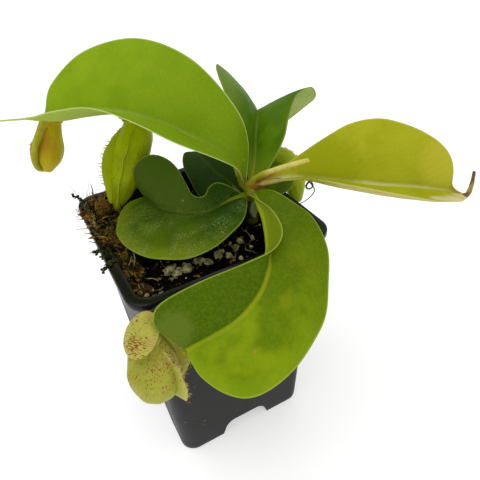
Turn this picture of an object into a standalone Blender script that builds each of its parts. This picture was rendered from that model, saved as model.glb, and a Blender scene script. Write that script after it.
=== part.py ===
"""Potted tropical pitcher plant: a young Nepenthes in a tall square nursery pot.

Everything is worked out in millimetres in the pot's own frame: the origin is
the centre of the pot's footprint, +X runs along the pot's front side to the
right, +Y to the back, +Z up. At the end all pieces are moved together so that
the origin is the centre of the whole plant's bounding box, on the ground.
"""
import math
import random

import bmesh
import bpy
import numpy as np
from mathutils import Matrix, Vector, noise

MM = 0.001

# Pot: a thin tapered square pot with an overhanging lip and four corner feet.
POT_TOP_HALF = 41.5
POT_BOTTOM_HALF = 35.5
POT_HEIGHT = 120.0
LIP_HALF = 45.0
LIP_DROP = 3.2
WALL = 1.3
CORNER_TOP = 6.5
CORNER_BOTTOM = 7.5
FLOOR_TOP = 12.5
NOTCH_WIDE = 30.0
NOTCH_TOP = 19.0
NOTCH_HEIGHT = 10.2
DRAIN_RADIUS = 3.6
DRAIN_SPREAD = 14.0

# Growing medium and what lies on it.
FIT = 0.35
SOIL_EDGE = 110.0
SOIL_WAVE = 1.5
PERLITE_COUNT = 28
MOSS_EDGE = POT_TOP_HALF - WALL - 1.6
MOSS_STRANDS = 22

# Stem and leaves.
STEM_X = 25.0
STEM_Y = -8.0
STEM_FOOT = 92.0
STEM_TOP = 132.6
STEM_RADIUS = 2.5
BLADE = 0.65
KEEL = 0.75
COLUMNS = 4
TAIL_ROWS = 6
TAIL_WIDTH = 2.4

GREEN = (0.25, 0.42, 0.03)
YELLOW_GREEN = (0.40, 0.50, 0.05)
DARK_GREEN = (0.06, 0.14, 0.02)


# Leaves: each blade is lofted between its midrib and its two margins. The
# points run from the petiole to the tip; "left" and "right" are as seen from
# the petiole. A bow bulges that half up (or down, where negative) by its share
# of the half's width, from the share of the length that "bow_from" gives.
LEAVES = {
    "leaf_upper_left": dict(
        rows=20, colour=GREEN, bow=(-0.18, 0.05), bow_from=(0.55, -1.0),
        tail=((-52, 70, 155), (-64, 82, 153), (-69, 88, 152)),
        midrib=((24, -4.5, 131), (21, -3, 141), (13, 1, 149), (-4, 17, 159),
                (-20, 40, 161), (-37, 59, 157.5), (-46, 64, 155)),
        left=((23, -6, 131), (18, -11, 142), (6, -16, 153), (-9, -14, 163), (-22, -6, 172),
              (-33, 5, 176), (-44, 19, 173), (-51, 33, 168), (-54, 48, 163), (-46.5, 63.5, 154.8)),
        right=((25.3, -4.5, 131.5), (31, 3, 147), (28, 9, 162), (17, 26, 180), (2, 51, 186),
               (-19, 70, 180), (-37, 71.5, 168), (-43.5, 65.5, 159), (-45.7, 64.5, 155.4))),
    "leaf_back": dict(
        rows=18, colour=GREEN, bow=(0.06, 0.06), tail=None,
        midrib=((26.4, -5.6, 128.2), (33, 1, 139), (38, 8, 146), (46, 20, 149.5), (54, 34, 146),
                (61, 46, 137), (66, 55, 121)),
        left=((26.1, -5.4, 128.2), (28.6, 3.6, 141), (30, 14, 155), (33, 34, 169), (43, 52, 166),
              (55, 61, 150), (64, 62, 130), (65.6, 55.8, 120.5)),
        right=((27.3, -6.3, 128.2), (34, -11, 139), (41, -11, 150), (48, -4, 155), (59, 6, 160),
               (69, 9, 161), (75, 13, 154), (79, 28, 143), (77, 45, 129), (66.4, 54.6, 120.5))),
    "leaf_right": dict(
        rows=18, colour=YELLOW_GREEN, bow=(0.04, -0.12), tail=None,
        midrib=((27.15, -9.8, 131.6), (38, -22, 137.5), (51, -36, 138.5), (65, -45.5, 136),
                (82, -52.5, 132.5), (94, -57, 129), (101.6, -61.2, 126.3)),
        left=((27.75, -8.6, 132), (35, -15, 138.5), (44, -19, 145), (55, -22.5, 151.5), (66, -24, 155),
              (77, -28.5, 155.5), (84, -36, 153), (90, -43.5, 149), (95, -51, 142),
              (96.6, -56, 134.3), (98.2, -58.4, 129.8), (101.8, -60.5, 126.6)),
        right=((26.3, -10.55, 131.7), (32, -20.5, 136.5), (38, -34, 142), (46, -51, 145),
               (61, -65, 144), (76, -70.5, 139), (90, -69, 131.5), (97, -65, 127.2), (101.4, -61.9, 126.1))),
    "leaf_front": dict(
        rows=24, colour=GREEN, bow=(0.08, 0.06), tail=None,
        midrib=((24.7, -10.75, 130), (21, -19, 133), (15, -37, 135.5), (11, -47, 133),
                (7, -54, 129), (4, -58, 126), (-3, -63, 122), (-15, -67, 118.5), (-33.6, -66.6, 115)),
        left=((25.9, -10.8, 130), (27, -24, 135.5), (28, -39, 136.5), (30, -49, 134), (28, -61, 128),
              (22, -70, 120), (16, -77, 114), (8, -82, 111), (-3, -86.5, 107.7), (-14, -87.8, 105),
              (-22, -86, 104), (-28, -81, 105.3), (-32.4, -74.6, 109), (-33.7, -69.4, 112.7)),
        right=((23.6, -10.6, 130), (19, -24, 136.5), (16, -42, 140.5), (12, -55, 139.5),
               (7, -57, 134), (-4, -55, 131.3), (-22, -54, 130), (-36, -55, 128.5),
               (-40.5, -58.5, 126.3), (-40, -61, 123), (-36.6, -64, 118.6))),
    "leaf_low_left": dict(
        rows=24, colour=DARK_GREEN, bow=(0.10, 0.03), tail=None,
        midrib=((21.6, -7.6, 126), (14, -6, 125), (3.1, -6.3, 123.5), (-6, 2.5, 122),
                (-12, 11.3, 121.5), (-14, 20, 121), (-15.3, 26.6, 120.7)),
        left=((21.6, -9, 126), (19, -15.7, 127), (11.6, -25.5, 127), (3.3, -29.1, 125),
              (-5, -30.4, 122.5), (-15, -28.9, 120.5), (-23, -22.7, 119), (-29.5, -15, 118),
              (-34, -4, 117.6), (-35, 7, 117.6), (-32.5, 15, 118), (-28, 23, 118.6),
              (-22.5, 27.6, 119.5), (-15.8, 27, 120.5)),
        right=((21.6, -6.3, 126.3), (16, -4, 131.5), (12, -1, 133), (8, -1, 132), (5, -2.8, 130),
               (2, -1.6, 129), (0, 2.5, 130), (0, 8, 133.5), (-0.2, 14.7, 137), (-2, 21.5, 139.3),
               (-6, 28, 140), (-11, 31, 138.5), (-15.5, 32, 134.5), (-17, 31, 130),
               (-16.6, 28.8, 125), (-15.3, 27, 121.2))),
    "leaf_low_back": dict(
        rows=14, colour=DARK_GREEN, bow=(0.08, 0.08), tail=None,
        midrib=((23.1, -5.5, 120.5), (23.5, 7, 124), (21.5, 19, 126), (20.5, 31, 128), (20, 42, 128.5)),
        left=((22, -6.4, 120.5), (11, -1, 121), (7, 9, 122), (7.5, 21, 124.5), (9.5, 34, 127),
              (14, 42.5, 129), (19.3, 42.6, 128.6)),
        right=((24.3, -4.6, 120.5), (29, 4, 124), (34, 15, 127), (35, 28, 129), (29, 40, 130),
               (20.7, 42.8, 128.8))),
    "leaf_low_right": dict(
        rows=12, colour=DARK_GREEN, bow=(0.05, 0.08), tail=None,
        midrib=((28.1, -7.4, 123), (34, -5, 126), (41, -2.5, 129), (47.6, -1, 130.3)),
        left=((27.7, -6.1, 123.5), (32.5, 1.5, 128), (39, 6, 131.3), (45, 4, 131.8), (47.9, -0.3, 130.6)),
        right=((28.4, -8.7, 123), (35.5, -13.5, 124.3), (43, -14, 126), (48, -8.5, 128.4),
               (47.9, -1.7, 130.1))),
    "leaf_withered": dict(
        rows=4, colour=(0.2, 0.25, 0.14), bow=(0.1, 0.1), tail=None,
        midrib=((23.7, -12.7, 124.5), (23.3, -13.3, 121), (23.0, -14.6, 117.5)),
        left=((24.8, -12.6, 124.5), (25.8, -13.3, 121), (23.7, -14.6, 117.3)),
        right=((22.6, -12.5, 124.5), (21.0, -13.3, 121), (22.4, -14.6, 117.3))),
}

# Tendrils and the rolled leaf: (points, radius at the start, radius at the end, colour).
RODS = {
    "leaf_spear": (((25.2, -8.8, 134.4), (28, -17, 140), (34, -26, 145.6), (39, -32, 149)), 1.5, 0.9,
                   (0.5, 0.45, 0.1)),
    "tendril_upper_left": (((-48.3, 64.6, 153.0), (-51.5, 64.4, 149.5), (-54.8, 65.4, 142.5),
                            (-56.4, 66.9, 135), (-56.0, 69.8, 128.4), (-54.0, 72, 125.8)),
                           1.3, 1.2, YELLOW_GREEN),
    "tendril_front": (((-34.4, -66.0, 113.2), (-32.8, -63.8, 113.0), (-30.8, -60, 110.8),
                       (-30.4, -54.6, 103.6), (-32.8, -52.4, 96), (-37.2, -54, 91.6), (-39.9, -56.4, 92.1)),
                      0.9, 1.1, YELLOW_GREEN),
    "tendril_low_left": (((-16, 28.4, 119.2), (-18, 28.6, 116.6), (-21.5, 29.2, 114.9),
                          (-24.9, 30.9, 114.6)), 0.8, 1.0, YELLOW_GREEN),
    "tendril_right": (((102.2, -61.3, 126.0), (105.5, -60.6, 125.2), (109.5, -58, 127),
                       (111, -56.4, 130), (111.8, -55, 131.6)), 1.0, 0.5, (0.25, 0.12, 0.04)),
    "tendril_back": (((66.1, 55.8, 120.0), (68, 60, 113), (67, 65, 108), (63, 67, 106.5),
                      (61.5, 64, 108.5)), 0.9, 0.5, YELLOW_GREEN),
    "tendril_low_right": (((49.0, -1.2, 130.8), (51.5, -2.5, 129.5), (55, -6.5, 125), (58.6, -9, 120),
                           (60.4, -8.6, 116), (58.6, -7.6, 112.6), (56.6, -5, 108.4), (55.9, -2.1, 105.2)),
                          0.8, 0.7, YELLOW_GREEN),
}

# Pitchers: each is a closed pouch along a bent axis. "widths" are its radii from the base to the
# mouth, "wing" is the way that its pair of wings faces, "wings" gives for each wing its turn
# about the axis in degrees and how far it stands out, from the base to the mouth. "lid" is the
# way that the mouth looks, "oval" the lid's half length and half width, "hinge" its long way.
PITCHERS = {
    "pitcher_left": dict(
        axis=((-27.9, 32.5, 114.8), (-26, 33.2, 118.5), (-22.3, 35.6, 123.5), (-17.2, 40, 130),
              (-11.2, 44.6, 139), (-6.8, 48, 149)),
        widths=(1.8, 5.0, 7.4, 8.6, 9.0, 6.4), wing=(-0.88, -0.4, 0.25),
        wings=((-26, (1.0, 3.2, 4.8, 5.6, 5.0, 2.4)), (30, (1.0, 2.8, 4.0, 4.6, 4.0, 1.6))),
        lid=(0.1, 0.15, 0.98), oval=(9.0, 8.2), hinge=(1, 0.4, 0), colour=YELLOW_GREEN, teeth=16),
    "pitcher_upper_left": dict(
        axis=((-51.6, 72, 126.8), (-50, 72, 129), (-46.6, 72, 137), (-43.5, 72, 145), (-41.6, 72, 150.6)),
        widths=(1.8, 5.6, 6.9, 5.3, 3.6), wing=(-0.9, -0.35, 0.2),
        wings=((-14, (0.6, 1.6, 1.8, 1.4, 0.6)), (14, (0.6, 1.6, 1.8, 1.4, 0.6))),
        lid=(0.25, 0.0, 0.97), oval=(4.8, 4.4), hinge=(1, 0.3, 0), colour=(0.30, 0.28, 0.03), teeth=9),
    "pitcher_front": dict(
        axis=((-42.1, -57.9, 93.9), (-43.8, -60.6, 96.5), (-44.6, -61.6, 103), (-44.2, -59, 111.5),
              (-43.9, -56.2, 117.6)),
        widths=(2.4, 8.0, 9.5, 8.2, 5.4), wing=(0.82, -0.57, -0.1),
        wings=((-22, (5.5, 4.8, 3.4, 3.0, 1.4)), (26, (0.6, 1.8, 3.6, 2.6, 0.6))),
        lid=(-0.32, -0.3, 0.9), oval=(8.2, 6.0), hinge=(0.7, 0.71, 0), colour=YELLOW_GREEN, teeth=12),
    "pitcher_right": dict(
        axis=((55.6, -1, 106.4), (56.4, 0.6, 109.4), (56.4, 4, 117), (54.4, 8, 126), (52.4, 11.4, 132.5)),
        widths=(1.8, 4.2, 5.4, 5.0, 4.2), wing=(0.5, 0.62, 0.6),
        wings=((-20, (1.0, 2.0, 3.0, 3.4, 1.0)), (26, (1.0, 2.0, 3.0, 3.4, 1.0))),
        lid=(-0.25, 0.45, 0.86), oval=(5.6, 5.0), hinge=(-0.5, 0.85, 0), colour=YELLOW_GREEN, teeth=11),
}


def clear_scene():
    for found in list(bpy.data.objects):
        bpy.data.objects.remove(found)


def material(name, colour, roughness=0.5):
    made = bpy.data.materials.new(name)
    made.use_nodes = True
    shader = made.node_tree.nodes["Principled BSDF"]
    shader.inputs["Base Color"].default_value = (*colour, 1.0)
    shader.inputs["Roughness"].default_value = roughness
    return made


def place(bm, name, colour, roughness=0.5, smooth=40.0):
    """Turn a bmesh in millimetres into a named object with its material."""
    bmesh.ops.recalc_face_normals(bm, faces=bm.faces[:])
    bmesh.ops.scale(bm, vec=(MM, MM, MM), verts=bm.verts[:])
    mesh = bpy.data.meshes.new(name)
    bm.to_mesh(mesh)
    bm.free()
    mesh.materials.append(material(name, colour, roughness))
    mesh.shade_smooth()
    mesh.set_sharp_from_angle(angle=math.radians(smooth))
    made = bpy.data.objects.new(name, mesh)
    bpy.context.collection.objects.link(made)
    return made


def boolean(target, cutter, operation, solver="EXACT"):
    """Apply one Boolean of cutter on target and remove the cutter."""
    step = target.modifiers.new(operation.lower(), "BOOLEAN")
    step.operation = operation
    step.object = cutter
    step.solver = solver
    depsgraph = bpy.context.evaluated_depsgraph_get()
    solved = bpy.data.meshes.new_from_object(target.evaluated_get(depsgraph))
    target.modifiers.clear()
    target.data = solved
    bpy.data.objects.remove(cutter)


def join_all(target, pieces, merge=0.0):
    """Fuse a list of overlapping pieces into target with one Boolean union."""
    group = bpy.data.collections.new(target.name + "_pieces")
    for piece in pieces:
        group.objects.link(piece)
    step = target.modifiers.new("fuse", "BOOLEAN")
    step.operation = "UNION"
    step.operand_type = "COLLECTION"
    step.collection = group
    step.solver = "EXACT"
    depsgraph = bpy.context.evaluated_depsgraph_get()
    solved = bpy.data.meshes.new_from_object(target.evaluated_get(depsgraph))
    target.modifiers.clear()
    target.data = solved
    for piece in pieces:
        bpy.data.objects.remove(piece)
    bpy.data.collections.remove(group)
    bm = bmesh.new()
    bm.from_mesh(solved)
    if merge:
        bmesh.ops.remove_doubles(bm, verts=bm.verts[:], dist=merge * MM)
        bmesh.ops.dissolve_degenerate(bm, edges=bm.edges[:], dist=merge * MM)
    bm.to_mesh(solved)
    bm.free()


def loft(bm, rings, closed=True):
    """Skin rings of points with quads and cap both ends. Returns the rows of vertices."""
    rows = [[bm.verts.new(point) for point in ring] for ring in rings]
    count = len(rows[0])
    last = count if closed else count - 1
    for low, high in zip(rows, rows[1:]):
        for i in range(last):
            j = (i + 1) % count
            bm.faces.new((low[i], low[j], high[j], high[i]))
    bm.faces.new(rows[0][::-1])
    bm.faces.new(rows[-1])
    return rows


def curve_through(points, count):
    """count + 1 evenly spaced points of a smooth curve through the given ones."""
    given = np.array(points, float)
    ends = np.vstack((2 * given[0] - given[1], given, 2 * given[-1] - given[-2]))
    dense = []
    for a, b, c, d in zip(ends, ends[1:], ends[2:], ends[3:]):
        for t in np.linspace(0.0, 1.0, 12, endpoint=False):
            dense.append(0.5 * (2 * b + (c - a) * t + (2 * a - 5 * b + 4 * c - d) * t ** 2
                                + (3 * b - a - 3 * c + d) * t ** 3))
    dense.append(given[-1])
    dense = np.array(dense)
    run = np.concatenate(([0.0], np.cumsum(np.linalg.norm(np.diff(dense, axis=0), axis=1))))
    wanted = np.linspace(0.0, run[-1], count + 1)
    return np.stack([np.interp(wanted, run, dense[:, k]) for k in range(3)], axis=1)


def unit(vectors):
    lengths = np.linalg.norm(vectors, axis=-1, keepdims=True)
    return vectors / np.maximum(lengths, 1e-9)


def square_ring(half, radius, z, per_corner=4):
    """A rounded square's points, anticlockwise from the +X side."""
    ring = []
    for quarter in range(4):
        turn = quarter * math.pi / 2
        centre_x = (half - radius) * (1 if quarter in (0, 3) else -1)
        centre_y = (half - radius) * (1 if quarter in (0, 1) else -1)
        for step in range(per_corner + 1):
            angle = turn + step * math.pi / 2 / per_corner
            ring.append((centre_x + radius * math.cos(angle), centre_y + radius * math.sin(angle), z))
    return ring


def wall_half(z):
    """Half the pot's outside width at a height."""
    return POT_BOTTOM_HALF + (POT_TOP_HALF - POT_BOTTOM_HALF) * z / POT_HEIGHT


def wall_corner(z):
    return CORNER_BOTTOM + (CORNER_TOP - CORNER_BOTTOM) * z / POT_HEIGHT


def make_pot():
    """Outside wall up, over the lip, and down the inside to the floor."""
    lip_foot = POT_HEIGHT - LIP_DROP
    outside = ((0.0, -0.5), (1.2, 0.0), (30.0, 0.0), (75.0, 0.0), (lip_foot, 0.0))
    rings = [square_ring(wall_half(z) + inset, wall_corner(z), z) for z, inset in outside]
    rings.append(square_ring(LIP_HALF - 0.5, CORNER_TOP + 2.2, lip_foot))
    rings.append(square_ring(LIP_HALF, CORNER_TOP + 2.5, lip_foot + 0.6))
    rings.append(square_ring(LIP_HALF, CORNER_TOP + 2.5, POT_HEIGHT - 0.7))
    rings.append(square_ring(LIP_HALF - 0.7, CORNER_TOP + 2.2, POT_HEIGHT))
    rings.append(square_ring(POT_TOP_HALF - WALL + 0.6, CORNER_TOP, POT_HEIGHT))
    rings.append(square_ring(POT_TOP_HALF - WALL, CORNER_TOP - 0.6, POT_HEIGHT - 0.8))
    for z in (75.0, 30.0, FLOOR_TOP):
        rings.append(square_ring(wall_half(z) - WALL, wall_corner(z) - 0.8, z))
    bm = bmesh.new()
    loft(bm, rings)
    pot = place(bm, "pot", (0.02, 0.021, 0.023), 0.45, 30.0)
    for axis in "XY":
        boolean(pot, notch_cutter(axis), "DIFFERENCE")
    for x, y in ((0, 0), (DRAIN_SPREAD, 0), (-DRAIN_SPREAD, 0), (0, DRAIN_SPREAD), (0, -DRAIN_SPREAD)):
        boolean(pot, drain_cutter(x, y), "DIFFERENCE")
    return pot


def notch_cutter(axis):
    """A channel across the underside whose mouth is the arch between two feet."""
    wide, narrow = NOTCH_WIDE / 2, NOTCH_TOP / 2
    arch = [(-wide, -1.0), (wide, -1.0), (wide, 0.8)]
    for step in range(5):
        angle = math.radians(10 + step * 20)
        arch.append((narrow + 4.5 * math.cos(angle) - 1.0, NOTCH_HEIGHT - 5.0 + 5.0 * math.sin(angle)))
    arch += [(-x, z) for x, z in arch[:1:-1]]
    reach = LIP_HALF
    bm = bmesh.new()
    loft(bm, [[(end, x, z) for x, z in arch] for end in (-reach, reach)])
    if axis == "Y":
        bmesh.ops.rotate(bm, matrix=Matrix.Rotation(math.pi / 2, 3, "Z"), verts=bm.verts[:])
    return place(bm, "notch_" + axis, GREEN)


def drain_cutter(x, y):
    bm = bmesh.new()
    bmesh.ops.create_cone(bm, cap_ends=True, segments=14, radius1=DRAIN_RADIUS, radius2=DRAIN_RADIUS,
                          depth=8.0)
    bmesh.ops.translate(bm, vec=(x, y, FLOOR_TOP - 1.0), verts=bm.verts[:])
    return place(bm, "drain", GREEN)


def medium_height(x, y):
    """The lumpy top of the growing medium, a little higher round the stem."""
    lumps = noise.noise(Vector((x * 0.09, y * 0.09, 3.0))) * SOIL_WAVE
    grit = noise.noise(Vector((x * 0.28, y * 0.28, 8.0))) * SOIL_WAVE * 0.7
    crown = 1.6 * math.exp(-((x - STEM_X) ** 2 + (y - STEM_Y) ** 2) / 160.0)
    level = min(1.0, max(0.0, (x + MOSS_EDGE - moss_reach(y) - 3.0) / 6.0))
    return SOIL_EDGE - 0.6 + (0.6 + lumps + grit) * level + crown


def moss_reach(y):
    """How far the moss lies in from the left side of the pot at a distance along it."""
    share = min(1.0, max(0.0, (y + 30.0) / (MOSS_EDGE + 30.0)))
    return 8.0 + 13.0 * share ** 2 + 1.5 * math.sin(share * 30.0)


def make_growing_medium():
    """A block that fills the pot, with a lumpy top, perlite and bark grains set in it."""
    bm = bmesh.new()
    rings = []
    for z in (FLOOR_TOP + FIT, 60.0, SOIL_EDGE - 3.0):
        rings.append(square_ring(wall_half(z) - WALL - FIT, wall_corner(z) - 1.0, z))
    edge_half = wall_half(SOIL_EDGE) - WALL - FIT
    for scale in (1.0, 0.92, 0.82, 0.7, 0.57, 0.44, 0.3, 0.16, 0.06):
        ring = square_ring(edge_half, wall_corner(SOIL_EDGE) - 1.0, 0.0)
        rings.append([(x * scale, y * scale, medium_height(x * scale, y * scale)) for x, y, _ in ring])
    loft(bm, rings)
    medium = place(bm, "growing_medium", (0.03, 0.02, 0.012), 0.9, 60.0)
    hole = bmesh.new()
    bmesh.ops.create_cone(hole, cap_ends=True, segments=16, radius1=STEM_RADIUS + 0.6 + FIT,
                          radius2=STEM_RADIUS + 0.6 + FIT, depth=40.0)
    bmesh.ops.translate(hole, vec=(STEM_X, STEM_Y, STEM_FOOT - FIT + 20.0), verts=hole.verts[:])
    boolean(medium, place(hole, "stem_hole", GREEN), "DIFFERENCE")
    join_all(medium, perlite_grains())
    return medium


def perlite_grains():
    """Loose grains half sunk in the medium, larger than life, clear of stem and pot."""
    draw = random.Random(7)
    grains = []
    while len(grains) < PERLITE_COUNT:
        x, y = draw.uniform(-36, 36), draw.uniform(-36, 36)
        size = draw.uniform(1.3, 2.4)
        near_stem = math.hypot(x - STEM_X, y - STEM_Y) < 8.0
        under_moss = x + MOSS_EDGE < moss_reach(y) + 5.0
        if near_stem or under_moss:
            continue
        bm = bmesh.new()
        bmesh.ops.create_icosphere(bm, subdivisions=1, radius=size)
        for vert in bm.verts:
            vert.co *= 1.0 + 0.5 * noise.noise(vert.co * 0.8 + Vector((x, y, 0)))
        bmesh.ops.translate(bm, vec=(x, y, medium_height(x, y) + 0.25 * size), verts=bm.verts[:])
        grains.append(place(bm, "grain", GREEN))
    return grains


def make_moss():
    """Matted moss heaped along the left edge and the left corner, with stray strands."""
    edge = MOSS_EDGE
    steps_u, steps_v = 8, 18
    bm = bmesh.new()
    top, bottom = [], []
    for i in range(steps_v + 1):
        along = -30.0 + (edge + 30.0) * i / steps_v
        reach = moss_reach(along)
        top_row, bottom_row = [], []
        for j in range(steps_u + 1):
            across = j / steps_u
            x = -edge + reach * across
            y = along
            corner = max(0.0, 5.0 - (x + edge)) * max(0.0, y - edge + 5.0) * 0.055
            x, y = x + corner, y - corner
            ground = SOIL_EDGE - 0.6 + FIT + 0.1
            swell = math.sin(math.pi * min(1.0, 0.22 + 0.78 * across)) ** 0.7
            heap = math.exp(-((x + edge) ** 2 + (y - edge) ** 2) / 60.0)
            bank = math.exp(-(x + edge) / 2.5)
            depth = 0.9 + 1.3 * swell + 7.5 * heap + 3.0 * bank
            depth += 1.2 * noise.noise(Vector((x * 0.3, y * 0.3, 1.0))) * swell
            top_row.append(bm.verts.new((x, y, ground + max(0.8, depth))))
            bottom_row.append(bm.verts.new((x, y, ground)))
        top.append(top_row)
        bottom.append(bottom_row)
    close_sheets(bm, top, bottom)
    moss = place(bm, "moss", (0.16, 0.09, 0.02), 0.9, 60.0)
    join_all(moss, moss_strands(edge))
    return moss


def close_sheets(bm, top, bottom):
    """Two grids of vertices become one closed solid, both split along the same diagonals."""
    rows, columns = len(top), len(top[0])
    for i in range(rows - 1):
        for j in range(columns - 1):
            a, b, c, d = (i, j), (i + 1, j), (i + 1, j + 1), (i, j + 1)
            for first, second, third in ((a, b, c), (a, c, d)):
                bm.faces.new([top[r][k] for r, k in (first, second, third)])
                bm.faces.new([bottom[r][k] for r, k in (third, second, first)])
    rim = [(i, 0) for i in range(rows - 1)] + [(rows - 1, j) for j in range(columns - 1)]
    rim += [(i, columns - 1) for i in range(rows - 1, 0, -1)] + [(0, j) for j in range(columns - 1, 0, -1)]
    for (r0, k0), (r1, k1) in zip(rim, rim[1:] + rim[:1]):
        bm.faces.new((top[r0][k0], bottom[r0][k0], bottom[r1][k1], top[r1][k1]))


def moss_strands(edge):
    """Thin tapering stalks that spring out of the moss along the rim, up and a little outwards."""
    draw = random.Random(21)
    strands = []
    for number in range(MOSS_STRANDS):
        along = draw.uniform(0.0, 1.0) ** 0.7
        y = -27.0 + (edge + 20.0) * along
        x = -edge + draw.uniform(0.9, 2.4 + 3.5 * along ** 6)
        foot = Vector((x, y, SOIL_EDGE + 1.2))
        heading = draw.uniform(math.radians(110), math.radians(250))
        rise = draw.uniform(9.0, 13.0) + 3.0 * along
        lean = draw.uniform(0.0, 6.0)
        side = Vector((math.cos(heading), math.sin(heading), 0.0))
        middle = foot + Vector((0, 0, rise * 0.85))
        tip = foot + Vector((0, 0, rise + 1.0)) + side * lean
        strands.append(rod("strand", (foot, middle, tip), 0.75, 0.3, GREEN, sides=3, steps=3))
    return strands


def rod(name, points, start_radius, end_radius, colour, sides=7, steps=10):
    """A tapering round rod along a smooth curve, closed at both ends."""
    path = curve_through([tuple(p) for p in points], steps)
    along = unit(np.gradient(path, axis=0))
    side = unit(np.cross(along, (0.31, 0.47, 0.83)))
    bm = bmesh.new()
    rings = []
    for i, (centre, tangent) in enumerate(zip(path, along)):
        side_now = unit(side[0] - tangent * side[0].dot(tangent)) if i == 0 else \
            unit(side_now - tangent * side_now.dot(tangent))
        other = np.cross(tangent, side_now)
        radius = start_radius + (end_radius - start_radius) * i / steps
        angles = [2 * math.pi * k / sides for k in range(sides)]
        rings.append([tuple(centre + radius * (math.cos(a) * side_now + math.sin(a) * other))
                      for a in angles])
    loft(bm, rings)
    return place(bm, name, colour, 0.4, 50.0)


def make_stem():
    """A short upright stem with the rings that fallen leaves have left."""
    bm = bmesh.new()
    rings = []
    heights = (STEM_FOOT, 100.0, 107.0, 112.0, 112.8, 114.0, 118.0, 121.0, 126.0, 130.0, STEM_TOP)
    swell = (0.2, 0.3, 0.4, 0.5, 0.6, 0.2, 0.1, 0.0, 0.0, -0.1, -0.5)
    for z, extra in zip(heights, swell):
        radius = STEM_RADIUS + extra
        rings.append([(STEM_X + radius * math.cos(a), STEM_Y + radius * math.sin(a), z)
                      for a in (2 * math.pi * k / 14 for k in range(14))])
    loft(bm, rings)
    return place(bm, "stem", (0.2, 0.22, 0.05), 0.6)


def blade_grid(spec, rows, columns=COLUMNS):
    """Points, in millimetres, of a blade's upper face: (rows + 1, 2 * columns + 1, 3)."""
    midrib = curve_through(spec["midrib"], rows)
    grid = np.zeros((rows + 1, 2 * columns + 1, 3))
    grid[:, columns] = midrib
    along = unit(np.gradient(midrib, axis=0))
    share = np.linspace(0.0, 1.0, rows + 1)
    for half, (side, key) in enumerate(((-1, "left"), (1, "right"))):
        start = spec.get("bow_from", (-1.0, -1.0))[half]
        bow = spec["bow"][half] * np.clip((share - start) / 0.25, 0.0, 1.0)
        margin = curve_through(spec[key], rows)
        across = margin - midrib
        width = np.linalg.norm(across, axis=1)
        lift = unit(np.cross(along, across)) * (1 if side < 0 else -1)
        for step in range(1, columns + 1):
            q = step / columns
            bulge = bow * np.sin(math.pi * q) * width * np.sin(math.pi * share ** 0.8)
            grid[:, columns + side * step] = midrib + across * q + lift * bulge[:, None]
    if not spec["tail"]:
        return grid
    strand = curve_through((spec["midrib"][-2], spec["midrib"][-1], *spec["tail"]), 3 * TAIL_ROWS)
    strand = strand[np.linalg.norm(strand - strand[0], axis=1) > np.linalg.norm(midrib[-1] - strand[0])]
    strand = curve_through([tuple(midrib[-1])] + [tuple(p) for p in strand[1::2]], TAIL_ROWS)[1:]
    heading = unit(np.gradient(strand, axis=0))
    flat = unit(np.cross(heading, (0.0, 0.0, 1.0)))
    reach = np.linspace(-1.0, 1.0, 2 * columns + 1)
    width = np.linspace(TAIL_WIDTH, TAIL_WIDTH * 0.6, TAIL_ROWS) / 2
    rows_on = strand[:, None, :] + flat[:, None, :] * (reach[None, :, None] * width[:, None, None])
    return np.concatenate((grid, rows_on))


def blade_normals(grid):
    """Upward normals; along the midrib, where a blade may be folded, the mean of both sides'."""
    along = np.gradient(grid, axis=0)
    normals = unit(np.cross(np.gradient(grid, axis=1), along))
    middle = grid.shape[1] // 2
    before = unit(np.cross(grid[:, middle] - grid[:, middle - 1], along[:, middle]))
    after = unit(np.cross(grid[:, middle + 1] - grid[:, middle], along[:, middle]))
    normals[:, middle] = unit(before + after)
    return normals


def make_leaf(name, spec):
    """A thin blade with a thicker rib under its middle and a stout petiole."""
    grid = blade_grid(spec, spec["rows"])
    normals = blade_normals(grid)
    bm = bmesh.new()
    top, bottom = [], []
    for i in range(len(grid)):
        petiole = max(0.0, 1.0 - i / 3.0)
        narrow = min(np.linalg.norm(grid[i, side] - grid[i, COLUMNS]) for side in (0, -1))
        stout = max(petiole, min(1.0, narrow / 9.0))
        top_row, bottom_row = [], []
        for j in range(2 * COLUMNS + 1):
            off_rib = abs(j - COLUMNS) / COLUMNS
            thick = BLADE + (KEEL + 0.5 * petiole) * max(0.0, 1.0 - 2.2 * off_rib) * stout + 0.3 * petiole
            top_row.append(bm.verts.new(grid[i, j]))
            bottom_row.append(bm.verts.new(grid[i, j] - normals[i, j] * thick))
        top.append(top_row)
        bottom.append(bottom_row)
    close_sheets(bm, top, bottom)
    return place(bm, name, spec["colour"], 0.35, 80.0)


def pitcher_radius(widths, share):
    """A radius or reach at a share of a pitcher's length, from its few given values."""
    widths = np.array(widths, float)
    stations = np.linspace(0.0, 1.0, len(widths))
    ends = np.column_stack((stations, widths, 0 * widths))
    smooth_run = curve_through(ends, 60)
    return float(np.interp(share, smooth_run[:, 0], smooth_run[:, 1]))


def pitcher_frame(spec, steps):
    """Centres, tangents and, at each, the way that the wings face and the way across.

    Towards the mouth the tangents turn into the way that the mouth looks."""
    path = curve_through(spec["axis"], steps)
    along = unit(np.gradient(path, axis=0))
    turned = np.clip((np.linspace(0.0, 1.0, steps + 1) - 0.5) / 0.45, 0.0, 1.0)[:, None]
    along = unit(along * (1.0 - turned) + unit(np.array(spec["lid"], float)) * turned)
    facing = np.array(spec["wing"], float)
    front = unit(facing - along * (along @ facing)[:, None])
    return path, along, front, np.cross(along, front)


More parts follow.
